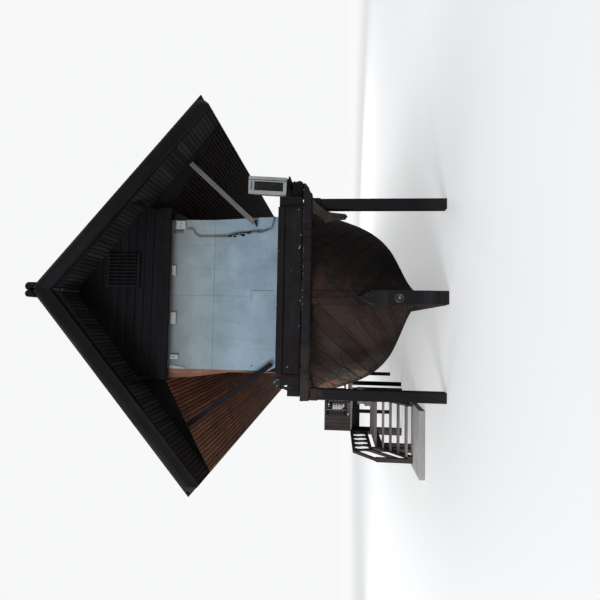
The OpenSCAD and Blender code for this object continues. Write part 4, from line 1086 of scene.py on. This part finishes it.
# Splits and open joints of the stern's planks: side, half the width in mm, then points (t, -y) on the skin
SPLITS = (
    (-1, 5, (0.668, 5.177), (0.626, 5.264), (0.573, 5.366)),
    (-1, 5, (0.579, 5.112), (0.575, 5.298), (0.569, 5.45)),
    (-1, 4, (0.554, 5.49), (0.529, 5.56), (0.484, 5.639), (0.482, 5.566), (0.459, 5.602)),
    (-1, 5, (0.483, 5.867), (0.467, 5.914)),
    (-1, 3, (0.483, 5.88), (0.484, 5.909), (0.49, 5.934)),
    (-1, 3, (0.411, 5.94), (0.42, 5.973), (0.418, 5.988)),
    (-1, 2, (0.665, 5.489), (0.62, 5.524)),
    (-1, 4, (0.562, 5.824), (0.557, 5.768), (0.558, 5.668)),
    (-1, 4, (0.405, 5.889), (0.403, 5.777), (0.406, 5.616), (0.402, 5.39)),
    (-1, 2, (0.545, 5.363), (0.509, 5.356), (0.459, 5.436)),
    (1, 4, (0.44, 5.945), (0.465, 5.909), (0.486, 5.863), (0.509, 5.808)),
    (1, 3, (0.514, 5.843), (0.534, 5.81), (0.592, 5.689)),
    (1, 4, (0.592, 5.689), (0.591, 5.629), (0.591, 5.528), (0.592, 5.407)),
    (1, 4, (0.705, 5.426), (0.729, 5.257), (0.781, 5.093)),
    (1, 4, (0.515, 5.519), (0.564, 5.405), (0.612, 5.281), (0.634, 4.989)),
    (1, 3, (0.518, 5.5), (0.509, 5.254), (0.512, 4.95)),
    (1, 3, (0.436, 5.916), (0.432, 5.856), (0.43, 5.779), (0.433, 5.564), (0.421, 5.26)),
    (1, 2, (0.43, 5.78), (0.445, 5.717), (0.449, 5.503)),
    (1, 3, (0.346, 5.949), (0.337, 5.836), (0.336, 5.528)),
    (1, 2, (0.507, 5.768), (0.506, 5.697), (0.512, 5.574)),
    (1, 4, (0.728, 5.254), (0.747, 5.032), (0.765, 4.80)),
)
STEM_SPLITS = ((((0.004, 1.850), (0.030, 1.755), (0.047, 1.66), (0.052, 1.602)), 0.008),
               (((0.020, 1.590), (0.014, 1.500), (0.010, 1.41)), 0.007))


def splits():
    """Each split is a ragged dark ribbon on the planks, or on the plank ends beside the stem."""
    p = Piece("plank_splits")
    above, below = 0.0009, 0.004
    for side, wide, *pts in SPLITS:
        path = []
        for a, b in zip(pts, pts[1:]):
            n = max(2, int((Vector(b) - Vector(a)).length / 0.02))
            path += [(a[0] + (b[0] - a[0]) * k / n, a[1] + (b[1] - a[1]) * k / n) for k in range(n)]
        path.append(pts[-1])
        last = len(path) - 1
        mids, outs = [], []
        for k, (t, y) in enumerate(path):
            t += rnd.uniform(-0.002, 0.002) if 0 < k < last else 0
            (x, z), out = skin(t, -y), outward(t, -y)
            outs.append(Vector((side * out.x, out.y, out.z)))
            mids.append(Vector((side * x, -y, z)))
        verts = []
        for k, (m, n) in enumerate(zip(mids, outs)):
            d = (mids[min(k + 1, last)] - mids[max(k - 1, 0)]).normalized()
            w = n.cross(d).normalized() * wide * 0.001 * (rnd.uniform(0.55, 1.25) if 0 < k < last else 0.2)
            verts += [m + w + n * above, m - w + n * above, m - w - n * below, m + w - n * below]
        p.solid(verts, loft(len(path), 4), UPRIGHT)
    for pts, w in STEM_SPLITS:
        for a, b in zip(pts, pts[1:]):
            foot, z = w * 0.9, b[1] - 0.001
            outline = [(a[0] - w, a[1]), (a[0] + w, a[1]), (b[0] + foot, z), (b[0] - foot, z)]
            p.prism(outline, 1, -PLANK_FACE - 0.0006, -HALF - 0.005)
    p.make("caulk", 0.0, "stern_planking")


stern_face()
post_irons()
plank_nails()
splits()


# Walls
def end_wall(end, which):
    """White sheets with open seams, ragged at the port edge."""
    p, back = Piece("wall_sheets_" + which), Piece("wall_seams_%d" % (end + 1))
    y0, y1 = end * WALL_Y, end * (WALL_Y - 0.058)
    low, top, seam_z, seam_x, g, rows = 2.4005, 4.119, 3.362, 0.012, 0.0012, 16

    def left(z):
        wear = 0.007 * abs(noise.noise(Vector((z * 9, 0, end))))
        return -1.0848 + (wear if z < 4.02 else 0)

    def right(z):
        wear = 0.006 * abs(noise.noise(Vector((z * 11, 5, end))))
        return 1.1548 + 0.05 * min(1.0, max(0.0, (3.35 - z) / 0.95)) - wear
    for a, b in ((low, seam_z), (seam_z, top)):
        zs = [a + g + (b - a - 2 * g) * k / rows for k in range(rows + 1)]
        port = [(left(z), z) for z in zs]
        if a == low:
            port = [(-1.02, zs[0])] + [q for q in port if q[1] > 2.52]
        starboard = [(right(z), z) for z in reversed(zs)]
        p.prism(port + [(seam_x - g, zs[-1]), (seam_x - g, zs[0])], 1, y0, y1, UPRIGHT, 0.5)
        p.prism([(seam_x + g, zs[0]), (seam_x + g, zs[-1])] + starboard, 1, y0, y1, UPRIGHT, 0.6)
    outline = [(-1.07, low), (-1.07, top), (1.14, top), (1.14, low)]
    back.prism(outline, 1, end * (WALL_Y - 0.006), end * (WALL_Y - 0.0595))
    p.make("wall", 0.0012, which + "_wall")
    back.make("caulk", 0.0, which + "_wall")


def side_walls():
    """Upright boards outside and in on the long walls, around the windows and the doorway."""
    lean = math.atan2(CABIN_SWELL, CABIN_END)
    long, foot, w, half, skin_t, g = CABIN_END / math.cos(lean), 2.0904, 0.135, 0.45, 0.022, 0.0015
    layers = ((0, -skin_t, 0.0, g), (0, -0.0998, -0.080, g), (1, -0.079, -skin_t - 0.001, 0.0))
    sill, head, door_head, door_at = 2.53, 3.33, 3.18, (CABIN_END - 0.7) / math.cos(lean)

    def at(u, v, z):
        """A point u along the wall from its end corner and v out from its face."""
        x = CABIN_X + u * math.sin(lean) + v * math.cos(lean)
        y = -CABIN_END + u * math.cos(lean) - v * math.sin(lean)
        return Vector((side * x, -end * y, z))

    def top(u):
        return brown_z(max(1.1, abs(at(u, 0, 0).x - SHIFT))) - 0.001
    for node, side in (("port_walls", -1), ("starboard_walls", 1)):
        pieces = Piece(node + "_boards"), Piece(node + "_core")
        # The starboard corner boards take the darker copy of the varnished boards: painted shade.
        corner = "brown" if side < 0 else "brown_painted_shade"
        timber(node, corner, 0.003, [("", "", 0, lambda c: abs(c.y) < 5.7)])
        for end in (-1, 1):
            door = side < 0 and end < 0
            holes = [(c - half, c + half, sill, head) for c in ((1.3, 3.0) if door else (1.3, 3.0, 4.7))]
            if door:
                holes.append((door_at - half, door_at + half, 0.0, door_head))
            marks = sorted({0.0, long - 0.0003} | {h[0] for h in holes} | {h[1] for h in holes})
            for a, b in zip(marks, marks[1:]):
                n = max(1, round((b - a) / w))
                hole = next((h for h in holes if h[0] < (a + b) / 2 < h[1]), None)
                parts = [(foot, None)] if hole is None else [(foot, hole[2]), (hole[3], None)]
                for k in range(n):
                    u0, u1 = a + (b - a) * k / n, a + (b - a) * (k + 1) / n
                    for z0, z1 in parts:
                        if z1 is not None and z1 < z0:
                            continue
                        za, zb = (z1, z1) if z1 else (top(u0), top(u1))
                        for which, v0, v1, g in layers:
                            corners = ((u0 + g, z0), (u1 - g, z0), (u1 - g, zb), (u0 + g, za))
                            pts = [at(u, v, z) for v in (v0, v1) for u, z in corners]
                            pieces[which].solid(pts, RING_FACES, UPRIGHT)
        pieces[0].make("brown", 0.0015, node)
        pieces[1].make("caulk", 0.0, node)


end_wall(-1, "stern")
end_wall(1, "bow")
side_walls()


# Fittings of the stern wall: joist ends and junction box, their holes, and the conduit's run
JOISTS = (((-0.94, 3.87), (-0.875, 4.0)), ((-0.42, 3.925), (-0.245, 4.012)), ((0.31, 3.95), (0.46, 4.01)),
          ((1.018, 3.82), (1.134, 3.96)))
HOLES = ((-0.909, 3.984), (-0.908, 3.943), (1.048, 3.90), (1.092, 3.882))
CONDUIT = ((0.998, 3.80), (1.014, 3.75), (1.0, 3.70), (0.93, 3.663), (0.896, 3.60), (0.896, 3.40),
           (0.902, 3.19))
LOWER_PIPE = ((0.985, 2.80), (0.972, 2.73), (0.984, 2.61), (1.012, 2.53), (1.05, 2.505), (1.12, 2.487),
              (1.20, 2.468))
TORN = ((0.905, 3.18), (0.935, 3.09), (0.948, 2.98), (0.957, 2.88), (0.975, 2.78), (0.975, 2.66), (1.0, 2.56))
BUNDLES = ((0.915, 3.14, 0.030, 0.05), (0.945, 3.02, 0.022, 0.06), (0.93, 2.95, 0.030, 0.05),
           (0.955, 2.86, 0.018, 0.05), (0.990, 2.70, 0.020, 0.04), (0.905, 3.07, 0.014, 0.03))
CABLE = ((1.02, 0.004, 3.993), (1.162, 0.004, 3.992), (1.277, 0.012, 3.993), (1.315, 0.03, 4.015))
CORNER_STRIP = ((-1.083, 4.005), (-1.034, 4.005), (-1.036, 3.93), (-1.05, 3.84), (-1.060, 3.77),
                (-1.083, 3.765))


def fittings():
    f = -WALL_Y - 0.0003
    white, dark, pipe, cable = [Piece(n) for n in ("joist_ends", "fitting_holes", "conduits", "cables")]
    panel = Piece("access_panel")
    for lo, hi in JOISTS:
        white.box((lo[0], f - 0.028, lo[1]), (hi[0], f, hi[1]), ALONG, wobble=0.002)
    for x, z in HOLES:
        dark.tube([(x, f - 0.026, z), (x, f - 0.0295, z)], 0.0085, 12)
    dark.tube([(-1.01, f + 0.004, 2.767), (-1.01, f - 0.0012, 2.767)], 0.011, 14)
    # the panel over a dark joint, which shows at its top and its starboard edge
    dark.box((-0.060, f - 0.0008, 2.460), (0.098, f, 2.799), UPRIGHT)
    panel.box((-0.062, f - 0.0030, 2.450), (0.093, f - 0.0006, 2.794), UPRIGHT)
    # two conduits down the wall, the lower pipe, and the torn stretch between
    for off, r in ((0.0, 0.0085), (0.021, 0.0065)):
        pipe.tube([(x + off, f - r, z) for x, z in CONDUIT], r, 10)
    pipe.tube([(x, f - 0.013, z) for x, z in LOWER_PIPE], 0.012, 10)
    for k in range(4):
        y = f - 0.006 - 0.006 * k
        pts = [(x + rnd.uniform(-0.012, 0.016), y, z + rnd.uniform(-0.01, 0.01)) for x, z in TORN]
        (cable if k % 2 else pipe).tube(pts, 0.0055, 8)
    # bundles of black tape and filler in the torn stretch
    for x, z, w, h in BUNDLES:
        pts = [(x + w * math.cos(a) * rnd.uniform(0.6, 1.0), z + h * math.sin(a) * rnd.uniform(0.6, 1.0))
               for a in angles(9)]
        cable.prism(pts, 1, f - 0.010 - rnd.uniform(0, 0.004), f)
    # thin cable over the gable beam and along the head of the wall
    cable.tube([(x, f - out, z) for x, out, z in CABLE], 0.004, 8)
    # scrollwork clip beside the junction box
    for z in (3.99, 3.955, 3.915, 3.875):
        curl = [(0.975 + 0.025 * math.sin(k * 0.7), z + 0.014 * math.cos(k * 0.7)) for k in range(8)]
        cable.tube([(u, f - 0.006, v) for u, v in curl], 0.0045, 6)
    # iron ledge under the grey brace
    dark.box((1.05, f - 0.058, 2.732), (1.155, f, 2.742))
    dark.prism([(1.06, 2.742), (1.15, 2.742), (1.15, 2.80)], 1, f - 0.05, f - 0.044, ACROSS)
    white.prism(CORNER_STRIP, 1, f - 0.012, f)
    panel.make("wall", 0.001, "fittings")
    white.make("white", 0.002, "fittings")
    dark.make("black", 0.0, "fittings")
    pipe.make("conduit", 0.0, "fittings")
    cable.make("black", 0.0, "fittings")


# Air conditioner
def aircon():
    """Built square to its own corner, then turned and leant as it stands."""
    wide, long, high, skin_t = 0.25, 0.76, 0.565, 0.032
    left, right, foot, head, top = 0.052, 0.180, 0.052, high - 0.085, high - 0.001
    case, dark, trim = [Piece("aircon_" + name) for name in ("case", "openings", "fins")]
    case.box((0, 0.030, 0.012), (wide, long, high), UPRIGHT, 0.5)
    # the side towards the photo: a frame around the coil, and a seam beside the corner strip
    for x0, y, x1, z0, z1, grain, tone in (
            (0, 0, left, 0.002, top, UPRIGHT, 0.5), (right, 0, 0.197, 0.002, top, UPRIGHT, 0.5),
            (0.206, 0.004, wide, 0.002, top, UPRIGHT, 0.6), (left, 0, right, 0.002, foot, ACROSS, 0.5),
            (left, 0, right, head, top, ACROSS, 0.5)):
        case.box((x0, y, z0), (x1, skin_t, z1), grain, tone)
    dark.box((left - 0.002, 0.022, foot - 0.002), (right + 0.002, 0.031, head + 0.002), UPRIGHT)
    dark.box((0.196, 0.024, 0.02), (0.207, 0.031, high - 0.03), UPRIGHT)
    x = left + 0.004
    while x < right - 0.004:
        trim.box((x, 0.012, foot), (x + 0.0022, 0.023, head), UPRIGHT)
        x += 0.0065
    for j in range(6):
        z = foot + (head - foot) * (j + 0.5) / 6
        trim.box((left, 0.008, z), (right, 0.012, z + 0.003))
    for x in [0.058 + j * 0.0205 for j in range(6)]:
        dark.box((x, -0.0006, high - 0.060), (x + 0.0125, 0.004, high - 0.032), UPRIGHT)
    for y in (0.10, long - 0.16):
        case.box((0.01, y, 0), (wide - 0.01, y + 0.05, 0.013), ACROSS, 0.4)
    # fan side: opening, wire guard, hub and two ribs, and the lid over all
    cy, cz, r = long / 2 + 0.06, high / 2, 0.215
    dark.tube([(wide - 0.012, cy, cz), (wide + 0.0004, cy, cz)], r, 48)
    for k in range(1, 12):
        trim.tube(ring((wide + 0.003, cy, cz), r * k / 11.5, 40, 0), 0.0016, 5)
    for a in angles(8):
        rim = (wide + 0.0045, cy + r * math.cos(a), cz + r * math.sin(a))
        trim.tube([(wide + 0.0045, cy, cz), rim], 0.0018, 5)
    case.tube([(wide + 0.001, cy, cz), (wide + 0.006, cy, cz)], 0.04, 24)
    for y in (cy - r - 0.012, cy + r + 0.012):
        case.box((wide - 0.002, y - 0.004, 0.03), (wide + 0.003, y + 0.004, high - 0.03), UPRIGHT, 0.5)
    case.box((-0.002, 0.028, high - 0.018), (wide + 0.003, long + 0.002, high + 0.0002), ALONG, 0.6)
    lean, turn = math.radians(3.5), math.radians(-14)
    place = Matrix.Translation((1.4836, -5.99, 2.29 - 0.018 * math.tan(lean)))
    stand = (place @ Matrix.Rotation(lean, 4, "Y") @ Matrix.Rotation(turn, 4, "Z")
             @ Matrix.Translation((0, 0, 0.0004)))
    for piece, material, bevel in ((case, "casing", 0.004), (dark, "hole", 0.0), (trim, "coil", 0.0)):
        piece.v = [stand @ v for v in piece.v]
        piece.make(material, bevel, "aircon_unit")


# Lantern on the port post
def lantern():
    """A milky glass in an iron cage of rings and bars, under a cap on an arm."""
    at, n, cage = Vector((-1.537, -5.945, 1.414)), 28, 0.0475

    def turned(piece, profile):
        verts = [at + Vector((r * math.cos(a), r * math.sin(a), h)) for r, h in profile for a in angles(n)]
        piece.solid(verts, loft(len(profile), n, True), UPRIGHT, 0.5)
    glass, iron = Piece("lantern_glass"), Piece("lantern_cage")
    turned(glass, [(0.004, 0.001), (0.022, 0.004), (0.037, 0.018), (0.0435, 0.036), (0.0435, 0.157)])
    turned(iron, [(0.048, 0.155), (0.055, 0.160), (0.055, 0.184), (0.047, 0.191), (0.031, 0.200),
                  (0.009, 0.204), (0.009, 0.238), (0.003, 0.240)])
    for z in (0.042, 0.082, 0.122):
        iron.tube([at + Vector(q) for q in ring((0, 0, z), cage, n, 2)], 0.0030, 6)
    for a in [math.pi * (0.5 + 2 * k / 3) for k in range(3)]:
        bar = ((0.049, 0.158), (0.049, 0.036), (0.038, 0.012), (0.012, 0.002))
        iron.tube([at + Vector((r * math.cos(a), r * math.sin(a), z)) for r, z in bar], 0.0017, 6)
    iron.tube([at + Vector((x, 0, 0.231)) for x in (0.0, 0.087)], 0.0078, 8)
    iron.box(at + Vector((0.080, -0.022, 0.196)), at + Vector((0.0866, 0.022, 0.246)), UPRIGHT)
    glass.make("lamp", 0.0, "fittings")
    iron.make("black", 0.0, "fittings")


# Old paint on the stern timbers: (x, z, half width, half height) of the chips on each face
BOARD_CHIPS = ((-1.0, 2.224, 0.012, 0.008), (-0.41, 2.061, 0.009, 0.006), (-0.05, 2.056, 0.014, 0.006),
               (-1.225, 2.18, 0.008, 0.012), (0.90, 2.062, 0.018, 0.006), (1.27, 2.10, 0.006, 0.012))
CAP_CHIPS = ((0.668, 2.375), (-0.119, 2.39), (-0.54, 2.388), (0.2, 2.385))
STUB_CHIPS = ((-1.215, 2.395, 0.014, 0.008), (-1.19, 2.36, 0.008, 0.014), (-1.27, 2.36, 0.008, 0.012),
              (-1.23, 2.412, 0.02, 0.004))


def chips():
    p = Piece("paint_chips")
    board, rail, cap, stub = -6.0, -6.064, -6.0255, -5.9905

    def chip(x, z, w, h, y, tilt=0.0):
        c, s, pts = math.cos(tilt), math.sin(tilt), []
        for a in angles(8):
            u, v = w * math.cos(a) * rnd.uniform(0.5, 1.0), h * math.sin(a) * rnd.uniform(0.5, 1.0)
            pts.append((x + u * c - v * s, z + u * s + v * c))
        p.prism(pts, 1, y - 0.0012, y + 0.002, ACROSS)
    for spot in BOARD_CHIPS:
        chip(*spot, board)
    for x0, x1, n in ((0.30, 0.62, 9), (0.66, 0.78, 5), (1.10, 1.24, 5), (-0.10, 0.10, 3)):
        for k in range(n):
            x = x0 + (x1 - x0) * k / max(1, n - 1) + rnd.uniform(-0.008, 0.008)
            chip(x, 2.018 + rnd.uniform(-0.006, 0.006), rnd.uniform(0.006, 0.018), 0.003, rail)
    chip(0.71, 2.082, 0.022, 0.010, board, -0.6)
    chip(0.735, 2.070, 0.020, 0.008, board, -0.5)
    for x, z in CAP_CHIPS:
        chip(x, z, 0.008, 0.004, cap)
    for spot in STUB_CHIPS:
        chip(*spot, stub)
    p.make("white", 0.0, "end_boards")


fittings()
aircon()
lantern()
chips()


# Floor, light and camera
def studio_floor():
    """A white floor that fades into the backdrop. Only the camera sees its glow."""
    s = Shader("studio_floor", 0.9)
    seen = s.node("ShaderNodeLightPath").outputs["Is Camera Ray"]
    far = s.stretch(s.length(s.coords("Object")), 9.0, 42.0, 0.0, 1.0, interpolation_type="SMOOTHSTEP")
    tint = s.mix(far, (0.86, 0.86, 0.85), (0.0, 0.0, 0.0))
    glow = s.math("MULTIPLY", seen, s.math("ADD", s.math("MULTIPLY", far, 0.53), 0.40))
    color = s.mix(seen, (0.42, 0.40, 0.38), tint)
    s.done(color, None, Emission_Color=(1.0, 1.0, 1.0), Emission_Strength=glow)
    mesh = bpy.data.meshes.new("studio_floor")
    r = 90
    mesh.from_pydata([(-r, -r, 0), (r, -r, 0), (r, r, 0), (-r, r, 0)], [], [(0, 1, 2, 3)])
    mesh.materials.append(s.mat)
    add("studio_floor", mesh)


def light(name, at, aim, size, power, tint=(1, 1, 1)):
    data = bpy.data.lights.new(name, "AREA")
    data.size, data.energy, data.color = size, power, tint
    ob = add(name, data)
    ob.location = at
    ob.rotation_euler = (Vector(aim) - Vector(at)).to_track_quat("-Z", "Y").to_euler()


def backdrop():
    """A white backdrop for the camera, and a dimmer blue one that lights the object."""
    world = bpy.data.worlds.new("studio")
    bpy.context.scene.world = world
    world.use_nodes = True
    nt = world.node_tree
    nt.nodes.clear()
    out, mix, ray = [nt.nodes.new(k) for k in ("ShaderNodeOutputWorld", "ShaderNodeMixShader",
                                               "ShaderNodeLightPath")]
    nt.links.new(ray.outputs["Is Camera Ray"], mix.inputs[0])
    for socket, color, power in ((1, (0.80, 0.86, 0.93, 1), 0.30), (2, (0.93, 0.935, 0.94, 1), 1.0)):
        sky = nt.nodes.new("ShaderNodeBackground")
        sky.inputs[0].default_value, sky.inputs[1].default_value = color, power
        nt.links.new(sky.outputs[0], mix.inputs[socket])
    nt.links.new(mix.outputs[0], out.inputs[0])
    bpy.context.scene.view_settings.view_transform = "Standard"


def camera():
    """The photo's own camera. The photo is stored on its side, so the part's up is to its left."""
    photo_px, focal_px, sensor, at = 600, 448.24, 36, (-0.388, -12.4, 1.524)
    yaw, pitch, roll = math.radians(3.09), math.radians(4.76), math.radians(0.81)
    forward = Vector((math.sin(yaw) * math.cos(pitch), math.cos(yaw) * math.cos(pitch), math.sin(pitch)))
    right = Vector((math.cos(yaw), -math.sin(yaw), 0))
    up = right.cross(forward)
    right, up = (math.cos(roll) * right + math.sin(roll) * up, -math.sin(roll) * right + math.cos(roll) * up)
    data = bpy.data.cameras.new("camera")
    data.sensor_width, data.lens = sensor, focal_px / photo_px * sensor
    ob = add("camera", data)
    ob.matrix_world = Matrix.Translation(at) @ Matrix((-up, right, -forward)).transposed().to_4x4()
    bpy.context.scene.camera = ob


studio_floor()
light("key", (-13, -17, 8), (0, -5, 2.5), 8, 1250, (0.97, 0.985, 1.0))
light("fill", (12, -16, 6), (0, -5, 2.5), 9, 100, (0.94, 0.97, 1.0))
light("top", (0, 0, 16), (0, 0, 0), 14, 700)
light("back", (10, 16, 9), (0, 2, 2), 9, 900)
light("side", (-16, 3, 6), (0, 0, 2), 9, 600)
backdrop()
camera()
